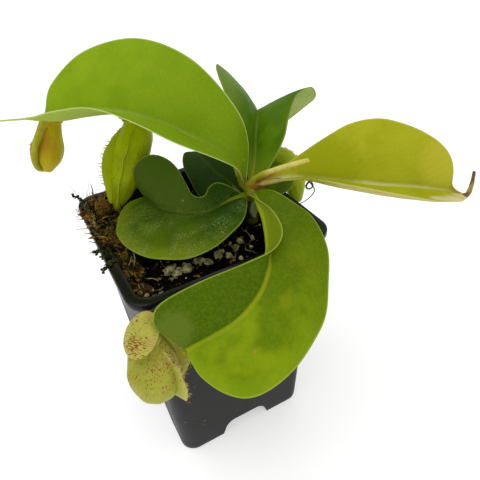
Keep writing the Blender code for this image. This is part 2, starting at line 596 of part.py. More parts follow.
def make_pitcher(name, spec):
    """A closed pouch with a rolled rim, two toothed wings down its front, and its lid."""
    steps, sides = 10, 12
    path, along, front, across = pitcher_frame(spec, steps)
    angles = [2 * math.pi * k / sides for k in range(sides)]
    rings = []
    for i in range(steps + 1):
        radius = pitcher_radius(spec["widths"], i / steps)
        rings.append([tuple(path[i] + radius * (math.cos(a) * front[i] + math.sin(a) * across[i]))
                      for a in angles])
    rim = pitcher_radius(spec["widths"], 1.0)
    mouth = unit(np.array(spec["lid"], float))
    side = unit(np.cross(mouth, front[-1]))
    face = np.cross(side, mouth)
    for rise, widen in ((0.9, 0.7), (1.5, 0.8), (2.0, 0.2)):
        centre = path[-1] + mouth * rise
        rings.append([tuple(centre + (rim + widen) * (math.cos(a) * face + math.sin(a) * side))
                      for a in angles])
    bm = bmesh.new()
    loft(bm, rings)
    body = place(bm, name, spec["colour"], 0.4, 60.0)
    join_all(body, [make_wing(spec, turn, reaches) for turn, reaches in spec["wings"]], 0.02)
    return body, make_lid(name + "_lid", spec, path[-1] + mouth * 2.35, mouth)


def make_wing(spec, turn, reaches):
    """One wing: a thin sheet down the pouch, its free edge cut into teeth."""
    steps = 2 * spec["teeth"]
    path, along, front, across = pitcher_frame(spec, steps)
    angle = math.radians(turn)
    bm = bmesh.new()
    rings = []
    for i in range(2, steps):
        share = i / steps
        out = math.cos(angle) * front[i] + math.sin(angle) * across[i]
        thick = 0.35 * unit(np.cross(along[i], out))
        radius = pitcher_radius(spec["widths"], share)
        tooth = 0.6 if i % 2 else 0.0
        reach = pitcher_radius(reaches, share) + tooth
        root = path[i] + out * radius * 0.6
        edge = path[i] + out * (radius + reach)
        rings.append([tuple(root - thick), tuple(edge - thick), tuple(edge + thick), tuple(root + thick)])
    loft(bm, rings)
    return place(bm, "wing", spec["colour"])


def make_lid(name, spec, foot, mouth):
    """A domed oval lid lying on the mouth, its underside flat against the rim."""
    hinge = np.array(spec["hinge"], float)
    hinge = unit(hinge - mouth * (mouth @ hinge))
    side = np.cross(mouth, hinge)
    length, width = spec["oval"]
    sides = 14
    angles = [2 * math.pi * k / sides for k in range(sides)]
    rings = []
    for rise, share in ((0.0, 0.5), (0.0, 0.93), (0.5, 1.0), (1.3, 0.98), (0.34 * width, 0.84),
                        (0.52 * width, 0.6), (0.62 * width, 0.25)):
        rings.append([tuple(foot + mouth * rise + share * (length * math.cos(a) * hinge
                                                           + width * math.sin(a) * side)) for a in angles])
    bm = bmesh.new()
    loft(bm, rings)
    return place(bm, name, spec["colour"], 0.45, 60.0)


def centre_on_ground():
    """Move everything so that the origin is the bounding box's bottom centre."""
    corners = np.array([vert.co for item in bpy.data.objects for vert in item.data.vertices])
    low, high = corners.min(axis=0), corners.max(axis=0)
    shift = Vector((-(low[0] + high[0]) / 2, -(low[1] + high[1]) / 2, -low[2]))
    for item in bpy.data.objects:
        item.data.transform(Matrix.Translation(shift))
    print("pot centre is at", [round(value / MM, 2) for value in shift])


def main():
    clear_scene()
    make_pot()
    make_growing_medium()
    make_moss()
    make_stem()
    for name, spec in LEAVES.items():
        make_leaf(name, spec)
    for name, (points, start, end, colour) in RODS.items():
        rod(name, points, start, end, colour)
    for name, spec in PITCHERS.items():
        make_pitcher(name, spec)
    centre_on_ground()


main()
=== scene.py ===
# %% [markdown]
# # A potted tropical pitcher plant
# A young climbing pitcher plant in a tall square nursery pot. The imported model
# gives the frame: where the pot stands and what room each part has. The cells
# below lay finer pieces over it, one kind of part after another, and finish
# each with a material. Lengths are in millimetres from the middle of the pot's
# foot, with +X along the pot's front to the right, and +Y to the back.

# %% Load the frame
import math
import random

import bmesh
import bpy
import numpy as np
from mathutils import Matrix, Vector, noise


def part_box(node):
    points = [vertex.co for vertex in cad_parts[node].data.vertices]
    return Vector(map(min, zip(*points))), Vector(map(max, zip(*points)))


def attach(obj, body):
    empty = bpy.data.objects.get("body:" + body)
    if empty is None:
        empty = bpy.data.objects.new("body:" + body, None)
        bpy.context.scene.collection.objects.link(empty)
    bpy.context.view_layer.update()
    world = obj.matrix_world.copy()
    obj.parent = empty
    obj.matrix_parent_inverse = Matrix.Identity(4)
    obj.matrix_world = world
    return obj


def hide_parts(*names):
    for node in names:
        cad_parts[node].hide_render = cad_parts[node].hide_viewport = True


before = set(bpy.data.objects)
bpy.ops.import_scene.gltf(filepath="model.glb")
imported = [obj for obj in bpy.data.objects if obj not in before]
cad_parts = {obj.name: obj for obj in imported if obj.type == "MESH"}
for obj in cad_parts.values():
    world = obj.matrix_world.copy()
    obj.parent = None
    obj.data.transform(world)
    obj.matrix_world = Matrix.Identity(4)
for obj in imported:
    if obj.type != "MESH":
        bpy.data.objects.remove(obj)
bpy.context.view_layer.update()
MM = 0.001
pot_low, pot_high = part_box("pot")
POT_CENTRE = Vector(((pot_low[0] + pot_high[0]) / 2, (pot_low[1] + pot_high[1]) / 2, 0.0))
TO_ROW = Matrix.Translation(POT_CENTRE) @ Matrix.Scale(MM, 4)
print("nodes:", len(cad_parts), "pot centre:", [round(value / MM, 2) for value in POT_CENTRE])


# %% From a shape to an object
def new_mesh(bm, name):
    mesh = bpy.data.meshes.new(name)
    bm.to_mesh(mesh)
    bm.free()
    return mesh


def placed(name, data):
    """A new object of the scene with the given mesh, curve, camera or lamp."""
    made = bpy.data.objects.new(name, data)
    bpy.context.collection.objects.link(made)
    return made


print("shapes can be placed")

# %% [markdown]
# ## The camera
# The photograph looks down at the plant from the front left. Yaw turns the view
# from +Y towards +X, pitch is how far it looks down, and the roll is the small
# tilt of the hand-held camera.

# %% Aim the camera
CAMERA_PLACE = Vector((-59.7, -166.3, 235.0))
CAMERA_YAW = math.radians(26.13)
CAMERA_PITCH = math.radians(36.88)
CAMERA_ROLL = math.radians(-4.146)
CAMERA_LENS = 34.5
SENSOR = 36.0
NEAR_CLIP = 0.005


def aim_camera():
    data = bpy.data.cameras.new("studio_camera")
    data.sensor_width = SENSOR
    data.lens = CAMERA_LENS
    data.clip_start = NEAR_CLIP
    camera = placed("studio_camera", data)
    turn = (Matrix.Rotation(-CAMERA_YAW, 4, "Z") @ Matrix.Rotation(math.pi / 2 - CAMERA_PITCH, 4, "X")
            @ Matrix.Rotation(CAMERA_ROLL, 4, "Z"))
    camera.matrix_world = Matrix.Translation(TO_ROW @ CAMERA_PLACE) @ turn
    bpy.context.scene.camera = camera
    return camera


camera = aim_camera()
print("camera at", [round(value, 4) for value in camera.location])

# %% [markdown]
# ## Floor and light
# A seamless pale floor and large soft lamps, as in a product photograph. The
# key lamp stands high at the left, a weaker one fills from the front right, and
# the pale surroundings keep the shadows open.

# %% Set up the studio
FLOOR_HALF = 3000.0
FLOOR_GLOW = 0.46
ROOM_LIGHT = 0.74
WHITE = (1.0, 1.0, 1.0, 1.0)


def soft_sun(name, towards, spread, strength):
    """A broad, even light that comes from one way, like a large softbox far off."""
    data = bpy.data.lights.new(name, "SUN")
    data.angle = math.radians(spread)
    data.energy = strength
    lamp = placed(name, data)
    lamp.location = Vector(towards)
    lamp.rotation_euler = (-Vector(towards)).to_track_quat("-Z", "Y").to_euler()


def surroundings(strength):
    world = bpy.data.worlds.new("pale_room")
    world.use_nodes = True
    background = world.node_tree.nodes["Background"]
    background.inputs["Color"].default_value = WHITE
    background.inputs["Strength"].default_value = strength
    bpy.context.scene.world = world


surroundings(ROOM_LIGHT)
soft_sun("key_light", towards=(-0.30, 0.05, 1.0), spread=50.0, strength=0.70)
soft_sun("fill_light", towards=(0.3, -0.9, 0.5), spread=70.0, strength=0.22)
bpy.context.scene.view_settings.view_transform = "Standard"
print("lamps and surroundings are lit")

# %% [markdown]
# ## A short way to write materials
# Each finish on this plant is a Principled shader with a few patterns in front
# of it. Paint holds one material and its tone, the colour so far. Each tint lays
# another colour over the tone, where a pattern says so: patches of noise, a step
# along a height, or a spot near a place. Patterns read the object's own
# coordinates, or the UV maps that the leaves and pitchers carry, so they stay on
# the surface from every side. A noise's scale is in cycles to a metre.

# %% Paint: one material and its nodes
class Paint:
    def __init__(self, name, tone, roughness, specular, **more):
        self.material = bpy.data.materials.new(name)
        self.material.use_nodes = True
        self.tree = self.material.node_tree
        self.shader = self.tree.nodes["Principled BSDF"].inputs
        self.tone = tone
        for socket, value in dict(more, Roughness=roughness, Specular_IOR_Level=specular).items():
            self.shader[socket.replace("_", " ")].default_value = value
        self.place = self.node("ShaderNodeTexCoord", {}).outputs["Object"]

    def node(self, kind, inputs, **settings):
        made = self.tree.nodes.new(kind)
        for key, value in settings.items():
            setattr(made, key, value)
        for key, value in inputs.items():
            if isinstance(value, bpy.types.NodeSocket):
                self.tree.links.new(value, made.inputs[key])
            else:
                made.inputs[key].default_value = value
        return made

    def split(self, vector):
        return self.node("ShaderNodeSeparateXYZ", {"Vector": vector}).outputs

    def uv(self, name):
        return self.split(self.node("ShaderNodeUVMap", {}, uv_map=name).outputs[0])[:2]

    def noise(self, scale, detail=2.0, where=None):
        inputs = {"Vector": where or self.place, "Scale": scale, "Detail": detail}
        return self.node("ShaderNodeTexNoise", inputs).outputs["Fac"]

    def cells(self, scale):
        return self.node("ShaderNodeTexVoronoi", {"Vector": self.place, "Scale": scale}).outputs["Distance"]

    def calc(self, operation, first, second=0.0):
        return self.node("ShaderNodeMath", {0: first, 1: second}, operation=operation).outputs[0]

    def times(self, first, second):
        return self.calc("MULTIPLY", first, second)

    def plus(self, first, second):
        return self.calc("ADD", first, second)

    def step(self, value, low, high):
        made = self.node("ShaderNodeMapRange", {"Value": value, "From Min": low, "From Max": high},
                         interpolation_type="SMOOTHSTEP")
        return made.outputs["Result"]

    def patches(self, scale, detail, low, high):
        return self.step(self.noise(scale, detail), low, high)

    def rise(self, low, high, axis="Z"):
        """0 below a height in millimetres, 1 above another, or the same along another axis."""
        return self.step(self.split(self.place)[axis], low * MM, high * MM)

    def near(self, place, radius):
        """1 at a place, given in millimetres of the pot's frame, and 0 from the radius on."""
        spot = tuple(TO_ROW @ Vector(place))
        away = self.node("ShaderNodeVectorMath", {0: self.place, 1: spot}, operation="DISTANCE")
        rough = self.plus(away.outputs["Value"], self.times(self.noise(500.0, 3.0), radius * MM * 0.5))
        return self.step(rough, radius * MM * 1.2, radius * MM * 0.7)

    def blend(self, amount, first, second):
        first, second = [(*tone, 1.0) if isinstance(tone, tuple) else tone for tone in (first, second)]
        return self.node("ShaderNodeMix", {0: amount, 6: first, 7: second}, data_type="RGBA").outputs[2]

    def tint(self, amount, tone, share=1.0):
        """Lay another tone over the one so far, by a pattern's amount and a share of it."""
        self.tone = self.blend(self.times(amount, share), self.tone, tone)

    def roughness(self, value):
        self.tree.links.new(value, self.shader["Roughness"])

    def finish(self, relief=None, depth=0.1, strength=1.0):
        """Put the tone and, where there is one, a relief on the shader."""
        self.tree.links.new(self.tone, self.shader["Base Color"])
        if relief:
            inputs = {"Height": relief, "Distance": depth * MM, "Strength": strength}
            self.tree.links.new(self.node("ShaderNodeBump", inputs).outputs["Normal"], self.shader["Normal"])
        return self.material


def lighter(tone, gain, lift=0.0):
    return tuple(min(1.0, value * gain + lift) for value in tone)


print("paint is ready")


# %% Lay the floor
def lay_floor():
    bm = bmesh.new()
    bmesh.ops.create_grid(bm, x_segments=2, y_segments=2, size=FLOOR_HALF * MM)
    glow = dict(Emission_Color=WHITE, Emission_Strength=FLOOR_GLOW)
    paint = Paint("pale_floor", (0.73, 0.73, 0.73), 0.6, 0.1, **glow)
    paint.tint(paint.noise(0.6), (0.76, 0.76, 0.76))
    floor = placed("floor", new_mesh(bm, "floor"))
    floor.data.materials.append(paint.finish())
    return floor


print("laid the", lay_floor().name)

# %% [markdown]
# ## Shaping helpers
# Most parts of a plant are skins over a few given curves. A smooth curve
# goes through the points, evenly spaced. A fresh grid is laid over rows of such
# curves, and where it goes all the way round, its doubles are merged so that
# the seam and the poles close. The last helper brings a finished shape into the
# frame, names what it stands for and gives it its finish. All normals are set
# there, after the doubles are merged.


# %% Curves and vectors
def run_along(points):
    """How far along a row of points each of them lies."""
    return np.concatenate(([0.0], np.cumsum(np.linalg.norm(np.diff(points, axis=0), axis=1))))


def curve_through(points, count):
    """count + 1 evenly spaced points of a smooth curve through the given ones."""
    given = np.array(points, float)
    ends = np.vstack((2 * given[0] - given[1], given, 2 * given[-1] - given[-2]))
    dense = []
    for a, b, c, d in zip(ends, ends[1:], ends[2:], ends[3:]):
        for t in np.linspace(0.0, 1.0, 16, endpoint=False):
            dense.append(0.5 * (2 * b + (c - a) * t + (2 * a - 5 * b + 4 * c - d) * t ** 2
                                + (3 * b - a - 3 * c + d) * t ** 3))
    dense = np.array(dense + [given[-1]])
    run = run_along(dense)
    wanted = np.linspace(0.0, run[-1], count + 1)
    return np.stack([np.interp(wanted, run, dense[:, k]) for k in range(3)], axis=1)


def unit(vectors):
    return vectors / np.maximum(np.linalg.norm(vectors, axis=-1, keepdims=True), 1e-9)


def smooth_share(value, low, high):
    share = np.clip((value - low) / (high - low), 0.0, 1.0)
    return share * share * (3.0 - 2.0 * share)


def taper(count, start, end):
    return np.linspace(start, end, count)


def waves(points, pitch, seed):
    """Smooth noise between -1 and 1 at each of an array of points."""
    flat = points.reshape(-1, 3) / pitch + seed
    return np.array([noise.noise(Vector(point)) for point in flat]).reshape(points.shape[:-1])


def flat_map(columns, rows):
    """A UV map of one value for each column and one for each row."""
    return np.stack(np.meshgrid(columns, rows), axis=2)


print("a curve through 3 points has", len(curve_through(((0, 0, 0), (1, 1, 0), (2, 0, 0)), 10)), "stations")


# %% Skins, tubes and finished pieces
def skin(bm, points, **maps):
    """Lay a new grid over points[row][column], with UV maps of values[row][column]."""
    rows, columns = points.shape[0] - 1, points.shape[1] - 1
    cell = bm.verts.layers.int.get("cell") or bm.verts.layers.int.new("cell")
    layers = [(bm.loops.layers.uv.get(name) or bm.loops.layers.uv.new(name), maps[name]) for name in maps]
    laid = bmesh.ops.create_grid(bm, x_segments=columns, y_segments=rows, size=1.0)["verts"]
    spots = {}
    for vert in laid:
        spot = (round((vert.co.y + 1) / 2 * rows), round((vert.co.x + 1) / 2 * columns))
        spots[vert] = spot
        vert.co = points[spot]
        vert[cell] = spot[0] * (columns + 1) + spot[1]
    faces = {face for vert in laid for face in vert.link_faces}
    for layer, values in layers:
        for loop in (loop for face in faces for loop in face.loops):
            loop[layer].uv = values[spots[loop.vert]]


def close_skin(bm, gap=0.004):
    """Merge the seam and the poles of a skin that goes all the way round."""
    bmesh.ops.remove_doubles(bm, verts=bm.verts[:], dist=gap)
    bmesh.ops.dissolve_degenerate(bm, edges=bm.edges[:], dist=gap)


def grown(extruded, kind=bmesh.types.BMVert):
    """The vertices, or the faces, that an extrusion made."""
    return [item for item in extruded["geom"] if isinstance(item, kind)]


def open_edges(bm):
    return [edge for edge in bm.edges if edge.is_boundary]


def tubes(strands, sides=5):
    """Tapering round strands, each (points, radii), closed at both ends."""
    curve = bpy.data.curves.new("strands", "CURVE")
    curve.dimensions = "3D"
    curve.bevel_depth = 1.0
    curve.bevel_resolution = max(0, sides // 2 - 2)
    curve.use_fill_caps = True
    for points, radii in strands:
        spline = curve.splines.new("POLY")
        spline.points.add(len(points) - 1)
        for spot, point, radius in zip(spline.points, points, radii):
            spot.co = (*point, 1.0)
            spot.radius = radius
    holder = placed("strands", curve)
    depsgraph = bpy.context.evaluated_depsgraph_get()
    bm = bmesh.new()
    bm.from_mesh(bpy.data.meshes.new_from_object(holder.evaluated_get(depsgraph)))
    bpy.data.objects.remove(holder)
    bpy.data.curves.remove(curve)
    bmesh.ops.remove_doubles(bm, verts=bm.verts[:], dist=0.0005)
    return bm


def finished(bm, name, material, node=None, sharp=70.0):
    """Bring a shape into the frame as a piece that rides on the plant."""
    bmesh.ops.recalc_face_normals(bm, faces=bm.faces[:])
    bmesh.ops.transform(bm, matrix=TO_ROW, verts=bm.verts[:])
    mesh = new_mesh(bm, name)
    mesh.materials.append(material)
    mesh.shade_smooth()
    mesh.set_sharp_from_angle(angle=math.radians(sharp))
    piece = placed(name, mesh)
    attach(piece, "root")
    if node:
        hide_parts(node)
    print(name, len(mesh.polygons), "faces")


# %% [markdown]
# ## The open leaves
# Each blade is lofted between its midrib and its two margins, petiole to tip.
# On the living leaf the midrib is a shallow groove above and a rounded keel
# below, the surface waves a little, and the edge is thinner than the middle.
# The grid for the upper face is laid over the loft, extruded for the lower face,
# and the copy pushed down by the local thickness. Two UV maps go with it, both
# in millimetres: how far a point is from the midrib and along the leaf, and how
# far it is from the margin, with a mark for the underside.

# %% Where the leaves are
LEAVES = {
    "leaf_upper_left": dict(
        rows=20, bow=(-0.18, 0.05), bow_from=(0.55, -1.0),
        tail=((-52, 70, 155), (-64, 82, 153), (-69, 88, 152)),
        midrib=((24, -4.5, 131), (21, -3, 141), (13, 1, 149), (-4, 17, 159),
                (-20, 40, 161), (-37, 59, 157.5), (-46, 64, 155)),
        left=((23, -6, 131), (18, -11, 142), (6, -16, 153), (-9, -14, 163), (-22, -6, 172),
              (-33, 5, 176), (-44, 19, 173), (-51, 33, 168), (-54, 48, 163), (-46.5, 63.5, 154.8)),
        right=((25.3, -4.5, 131.5), (31, 3, 147), (28, 9, 162), (17, 26, 180), (2, 51, 186),
               (-19, 70, 180), (-37, 71.5, 168), (-43.5, 65.5, 159), (-45.7, 64.5, 155.4))),
    "leaf_back": dict(
        rows=18, bow=(0.06, 0.06),
        midrib=((26.4, -5.6, 128.2), (33, 1, 139), (38, 8, 146), (46, 20, 149.5), (54, 34, 146),
                (61, 46, 137), (66, 55, 121)),
        left=((26.1, -5.4, 128.2), (28.6, 3.6, 141), (30, 14, 155), (33, 34, 169), (43, 52, 166),
              (55, 61, 150), (64, 62, 130), (65.6, 55.8, 120.5)),
        right=((27.3, -6.3, 128.2), (34, -11, 139), (41, -11, 150), (48, -4, 155), (59, 6, 160),
               (69, 9, 161), (75, 13, 154), (79, 28, 143), (77, 45, 129), (66.4, 54.6, 120.5))),
    "leaf_right": dict(
        rows=18, bow=(0.04, -0.12),
        midrib=((27.15, -9.8, 131.6), (38, -22, 137.5), (51, -36, 138.5), (65, -45.5, 136),
                (82, -52.5, 132.5), (94, -57, 129), (101.6, -61.2, 126.3)),
        left=((27.75, -8.6, 132), (35, -15, 138.5), (44, -19, 145), (55, -22.5, 151.5), (66, -24, 155),
              (77, -28.5, 156), (84, -36, 154.6), (90.4, -42.9, 151.2), (95.8, -48, 146.3),
              (97.8, -52.3, 141.4), (97.2, -55.4, 136.4), (95.2, -57.4, 132), (97, -59.3, 128.9),
              (101.8, -60.6, 126.5)),
        right=((26.3, -10.55, 131.7), (32, -20.5, 136.5), (38, -34, 142), (45, -52, 145.2),
               (60.1, -66, 142.6), (72.8, -69.6, 137.8), (88.6, -67.6, 131), (97.4, -64, 127.2),
               (101.4, -61.9, 126.1))),
    "leaf_front": dict(
        rows=24, bow=(0.08, 0.06),
        midrib=((23.6, -11.1, 129.2), (21, -19, 132.4), (15, -37, 135.3), (11, -47, 133),
                (7, -54, 129), (4, -58, 126), (-3, -63, 122), (-15, -67, 118.5), (-33.6, -66.6, 115)),
        left=((25.4, -11.2, 129.4), (27, -24, 135.2), (28, -39, 136.5), (30, -49, 134), (28, -61, 128),
              (22, -70, 120), (16, -77, 114), (8, -82, 111), (-3, -86.5, 107.7), (-14, -87.8, 105),
              (-22, -86, 104), (-28, -81, 105.3), (-32.4, -74.6, 109), (-33.7, -69.4, 112.7)),
        right=((21.5, -10.2, 128.4), (18.4, -23, 134.4), (15.8, -41.5, 139.4), (12, -55, 139.3),
               (7, -57, 134), (-4, -55, 131.3), (-22, -54, 130), (-36, -55, 128.5),
               (-40.5, -58.5, 126.3), (-40, -61, 123), (-36.6, -64, 118.6))),
    "leaf_low_left": dict(
        rows=24, bow=(0.10, 0.03),
        midrib=((21.6, -7.6, 126), (14, -6, 125), (3.1, -6.3, 123.5), (-6, 2.5, 122),
                (-12, 11.3, 121.5), (-14, 20, 121), (-15.3, 26.6, 120.7)),
        left=((21.6, -9, 126), (19, -15.7, 127), (11.6, -25.5, 127), (3.3, -29.1, 125),
              (-5, -30.4, 122.5), (-15, -28.9, 120.5), (-23, -22.7, 119), (-29.5, -15, 118),
              (-34, -4, 117.6), (-35, 7, 117.6), (-32.5, 15, 118), (-28, 23, 118.6),
              (-22.5, 27.6, 119.5), (-15.8, 27, 120.5)),
        right=((21.6, -6.3, 126.3), (16, -4, 131.5), (12, -1, 133), (8, -1, 132), (5, -2.8, 130),
               (2, -1.6, 129), (0, 2.5, 130), (0, 8, 133.5), (-0.2, 14.7, 137), (-2, 21.5, 139.3),
               (-6, 28, 140), (-11, 31, 138.5), (-15.5, 32, 134.5), (-17, 31, 130),
               (-16.6, 28.8, 125), (-15.3, 27, 121.2))),
    "leaf_low_back": dict(
        rows=14, bow=(0.08, 0.08),
        midrib=((23.1, -5.5, 120.5), (23.5, 7, 124), (21.5, 19, 126), (20.5, 31, 128), (20, 42, 128.5)),
        left=((22, -6.4, 120.5), (11, -1, 121), (7, 9, 122), (7.5, 21, 124.5), (9.5, 34, 127),
              (14, 42.5, 129), (19.3, 42.6, 128.6)),
        right=((24.3, -4.6, 120.5), (29, 4, 124), (34, 15, 127), (35, 28, 129), (29, 40, 130),
               (20.7, 42.8, 128.8))),
    "leaf_low_right": dict(
        rows=12, bow=(0.05, 0.08),
        midrib=((28.1, -7.4, 123), (34, -5, 126), (41, -2.5, 129), (47.6, -1, 130.3)),
        left=((27.7, -6.1, 123.5), (32.5, 1.5, 128), (39, 6, 131.3), (45, 4, 131.8), (47.9, -0.3, 130.6)),
        right=((28.4, -8.7, 123), (35.5, -13.5, 124.3), (43, -14, 126), (48, -8.5, 128.4),
               (47.9, -1.7, 130.1))),
    "leaf_withered": dict(
        rows=4, bow=(0.1, 0.1),
        midrib=((23.7, -12.7, 124.5), (23.3, -13.3, 121), (23.0, -14.6, 117.5)),
        left=((24.8, -12.6, 124.5), (25.8, -13.3, 121), (23.7, -14.6, 117.3)),
        right=((22.6, -12.5, 124.5), (21.0, -13.3, 121), (22.4, -14.6, 117.3))),
}
print(len(LEAVES), "leaves are placed")

# %% Shape one blade
ROW_FINE = 6
HALF_COLUMNS = 22
BLADE = 0.6
EDGE_BLADE = 0.35
KEEL = 0.85
GROOVE = 0.3
RIB_HALF = 1.1
PETIOLE_SWELL = 0.9
PETIOLE_END = (2.0, 14.0)
RIPPLES = ((11.0, 0.0, 0.35), (4.5, 5.0, 0.08))
TAIL_ROWS = 24
TAIL_WIDTH = 2.4


def blade_grid(spec):
    """Points of a blade's upper face, and each one's distance from the midrib and the margin."""
    rows = spec["rows"] * ROW_FINE
    midrib = curve_through(spec["midrib"], rows)
    along = unit(np.gradient(midrib, axis=0))
    share = np.linspace(0.0, 1.0, rows + 1)
    grid = np.repeat(midrib[:, None, :], 2 * HALF_COLUMNS + 1, axis=1)
    inward, outward = np.zeros((2, *grid.shape[:2]))
    for half, (side, key) in enumerate(((-1, "left"), (1, "right"))):
        start = spec.get("bow_from", (-1.0, -1.0))[half]
        bow = spec["bow"][half] * np.clip((share - start) / 0.25, 0.0, 1.0)
        across = curve_through(spec[key], rows) - midrib
        width = np.linalg.norm(across, axis=1)
        lift = unit(np.cross(along, across)) * -side
        for step in range(HALF_COLUMNS + 1):
            q = (step / HALF_COLUMNS) ** 1.35
            bulge = bow * math.sin(math.pi * q) * width * np.sin(math.pi * share ** 0.8)
            column = HALF_COLUMNS + side * step
            grid[:, column] = midrib + across * q + lift * bulge[:, None]
            inward[:, column] = side * q * width
            outward[:, column] = (1.0 - q) * width
    if "tail" in spec:
        return add_tail(spec, grid, inward, outward)
    return grid, inward, outward


def add_tail(spec, grid, inward, outward):
    """Draw the tip out into a flat strap that lies past the blade."""
    tip = grid[-1, HALF_COLUMNS]
    strand = curve_through((*spec["midrib"][-2:], *spec["tail"]), 40)
    beyond = np.linalg.norm(strand - strand[0], axis=1) > np.linalg.norm(tip - strand[0])
    strand = curve_through([tip, *strand[beyond][2::3]], TAIL_ROWS)[1:]
    flat = unit(np.cross(unit(np.gradient(strand, axis=0)), (0.0, 0.0, 1.0)))
    reach = np.linspace(-1.0, 1.0, 2 * HALF_COLUMNS + 1)
    width = np.linspace(TAIL_WIDTH, TAIL_WIDTH * 0.55, TAIL_ROWS) / 2
    offsets = reach[None, :] * width[:, None]
    strap = strand[:, None, :] + flat[:, None, :] * offsets[:, :, None]
    return (np.concatenate((grid, strap)), np.concatenate((inward, offsets)),
            np.concatenate((outward, width[:, None] - np.abs(offsets))))


def blade_normals(grid):
    """Upward normals; along the midrib, where a blade may be folded, the mean of both sides'."""
    along = np.gradient(grid, axis=0)
    normals = unit(np.cross(np.gradient(grid, axis=1), along))
    steps = (grid[:, k + 1] - grid[:, k] for k in (HALF_COLUMNS - 1, HALF_COLUMNS))
    normals[:, HALF_COLUMNS] = unit(sum(unit(np.cross(step, along[:, HALF_COLUMNS])) for step in steps))
    return normals


def make_blade(name, spec, material, seed):
    grid, inward, outward = blade_grid(spec)
    normals = blade_normals(grid)
    run = np.repeat(run_along(grid[:, HALF_COLUMNS])[:, None], grid.shape[1], axis=1)
    half_wide = np.minimum(np.abs(inward[:, :1]), inward[:, -1:])
    stout = smooth_share(half_wide, 0.6, 5.0)
    petiole = 1.0 - smooth_share(run, *PETIOLE_END)
    groove = np.exp(-(inward / RIB_HALF) ** 2) * stout
    keel = np.exp(-(inward / (RIB_HALF * 1.1)) ** 2) * stout
    ripple = sum(waves(grid, pitch, seed + shift) * size for pitch, shift, size in RIPPLES)
    calm = smooth_share(outward, 0.0, 3.0) * stout
    top = grid + normals * (ripple * calm - GROOVE * groove)[:, :, None]
    thick = EDGE_BLADE + (BLADE - EDGE_BLADE) * smooth_share(outward, 0.0, 2.5)
    thick = thick + (KEEL + GROOVE * 0.5) * keel + PETIOLE_SWELL * petiole * groove
    bm = bmesh.new()
    skin(bm, top, grain=np.stack((inward, run), axis=2), edge=np.stack((outward, 0 * outward), axis=2))
    cell = bm.verts.layers.int.get("cell")
    edge_map = bm.loops.layers.uv.get("edge")
    lower = bmesh.ops.extrude_face_region(bm, geom=bm.faces[:])
    for vert in grown(lower):
        spot = divmod(vert[cell], grid.shape[1])
        vert.co = vert.co - Vector(normals[spot]) * float(thick[spot])
    for loop in (loop for face in grown(lower, bmesh.types.BMFace) for loop in face.loops):
        loop[edge_map].uv.y = 1.0
    finished(bm, name + "_blade", material, name)


print("a blade has", 2 * HALF_COLUMNS, "columns")


# %% [markdown]
# ## What a leaf is finished with
# The blade is waxy: a smooth skin with a soft sheen, patches of lighter and
# darker green, a fine grain, a pale midrib and a thin pale margin. The underside
# is paler and duller. Older leaves are darker, the youngest are yellow. The low
# leaf under the drip of the others carries dried specks of water. Some leaves
# also carry painted light and shade: darker feet near the stem and a darker
# inner lobe on the front leaf are painted shade, a lighter half on the back leaf
# is painted light, and the front leaf has a painted greyish sheen.

# %% Leaf finish
DRIED_WATER = (0.34, 0.40, 0.13)
RIB_FADES = (15.0, 85.0)


def leaf_paint(name, face, shade, rib, edge, under, foot=None, foot_reach=(4, 20), lobe=None,
               lobe_reach=(-2, 4), glow=None, rib_half=1.0, rib_shows=(0.6, 0.3), spots=(), dust=0.0,
               roughness=0.45):
    paint = Paint(name, face, roughness, 0.045)
    across, along = paint.uv("grain")
    margin, under_mark = paint.uv("edge")
    off_rib = paint.calc("ABSOLUTE", across)
    mottle = paint.patches(900.0, 3.0, 0.38, 0.66)
    paint.tint(paint.patches(75.0, 5.0, 0.36, 0.64), shade)
    # The lobe tone lies over one half; on the back leaf it is painted light, on the front leaf painted
    # shade.
    if lobe:
        paint.tint(paint.step(across, *lobe_reach), lobe)
    if glow:
        near = paint.plus(margin, paint.times(paint.noise(230.0, 4.0), 6.0))
        paint.tint(paint.times(paint.step(near, 12.0, 4.0), paint.step(across, 0.0, -5.0)), glow, 0.7)
    # The foot tone lies near the stem; on the upper left, front and low left leaves it is painted shade.
    if foot:
        paint.tint(paint.step(along, foot_reach[1], foot_reach[0]), foot, 0.9)
    paint.tint(mottle, lighter(face, 1.3, 0.004), 0.11)
    slant = paint.plus(paint.times(along, 0.85), paint.times(off_rib, -0.62))
    wobble = paint.times(paint.noise(130.0), 2.2)
    veins = paint.step(paint.calc("SINE", paint.times(paint.plus(slant, wobble), 1.9)), 0.8, 1.0)
    paint.tint(veins, rib, 0.035)
    paint.tint(under_mark, paint.blend(paint.times(mottle, 0.25), under, shade))
    fading = {"Value": along, "From Min": RIB_FADES[0], "From Max": RIB_FADES[1],
              "To Min": rib_shows[0], "To Max": rib_shows[1]}
    strength = paint.node("ShaderNodeMapRange", fading).outputs["Result"]
    paint.tint(paint.times(paint.step(off_rib, rib_half + 0.5, rib_half * 0.3), strength), rib)
    paint.tint(paint.step(margin, 0.8, 0.15), edge, 0.75)
    # Spots are tones near places: real marks, and on the front leaf one painted sheen.
    for place, radius, overlay in spots:
        paint.tint(paint.near(place, radius), overlay, 0.85)
    if dust:
        fleck = paint.step(paint.calc("ABSOLUTE", paint.plus(paint.noise(900.0), -0.5)), 0.05, 0.006)
        grains = paint.step(paint.cells(560.0), 0.15, 0.07)
        thin = paint.times(paint.patches(120.0, 4.0, 0.36, 0.66), paint.step(across, 9.0, -6.0))
        marks = paint.calc("MAXIMUM", paint.times(fleck, 0.55), grains)
        paint.tint(paint.times(marks, thin), DRIED_WATER, dust)
    dull = paint.plus(paint.times(mottle, 0.1), roughness)
    paint.roughness(paint.plus(dull, paint.times(under_mark, 0.15)))
    return paint.finish(paint.plus(paint.times(veins, -0.8), paint.noise(900.0, 3.0)), 0.12, 0.6)


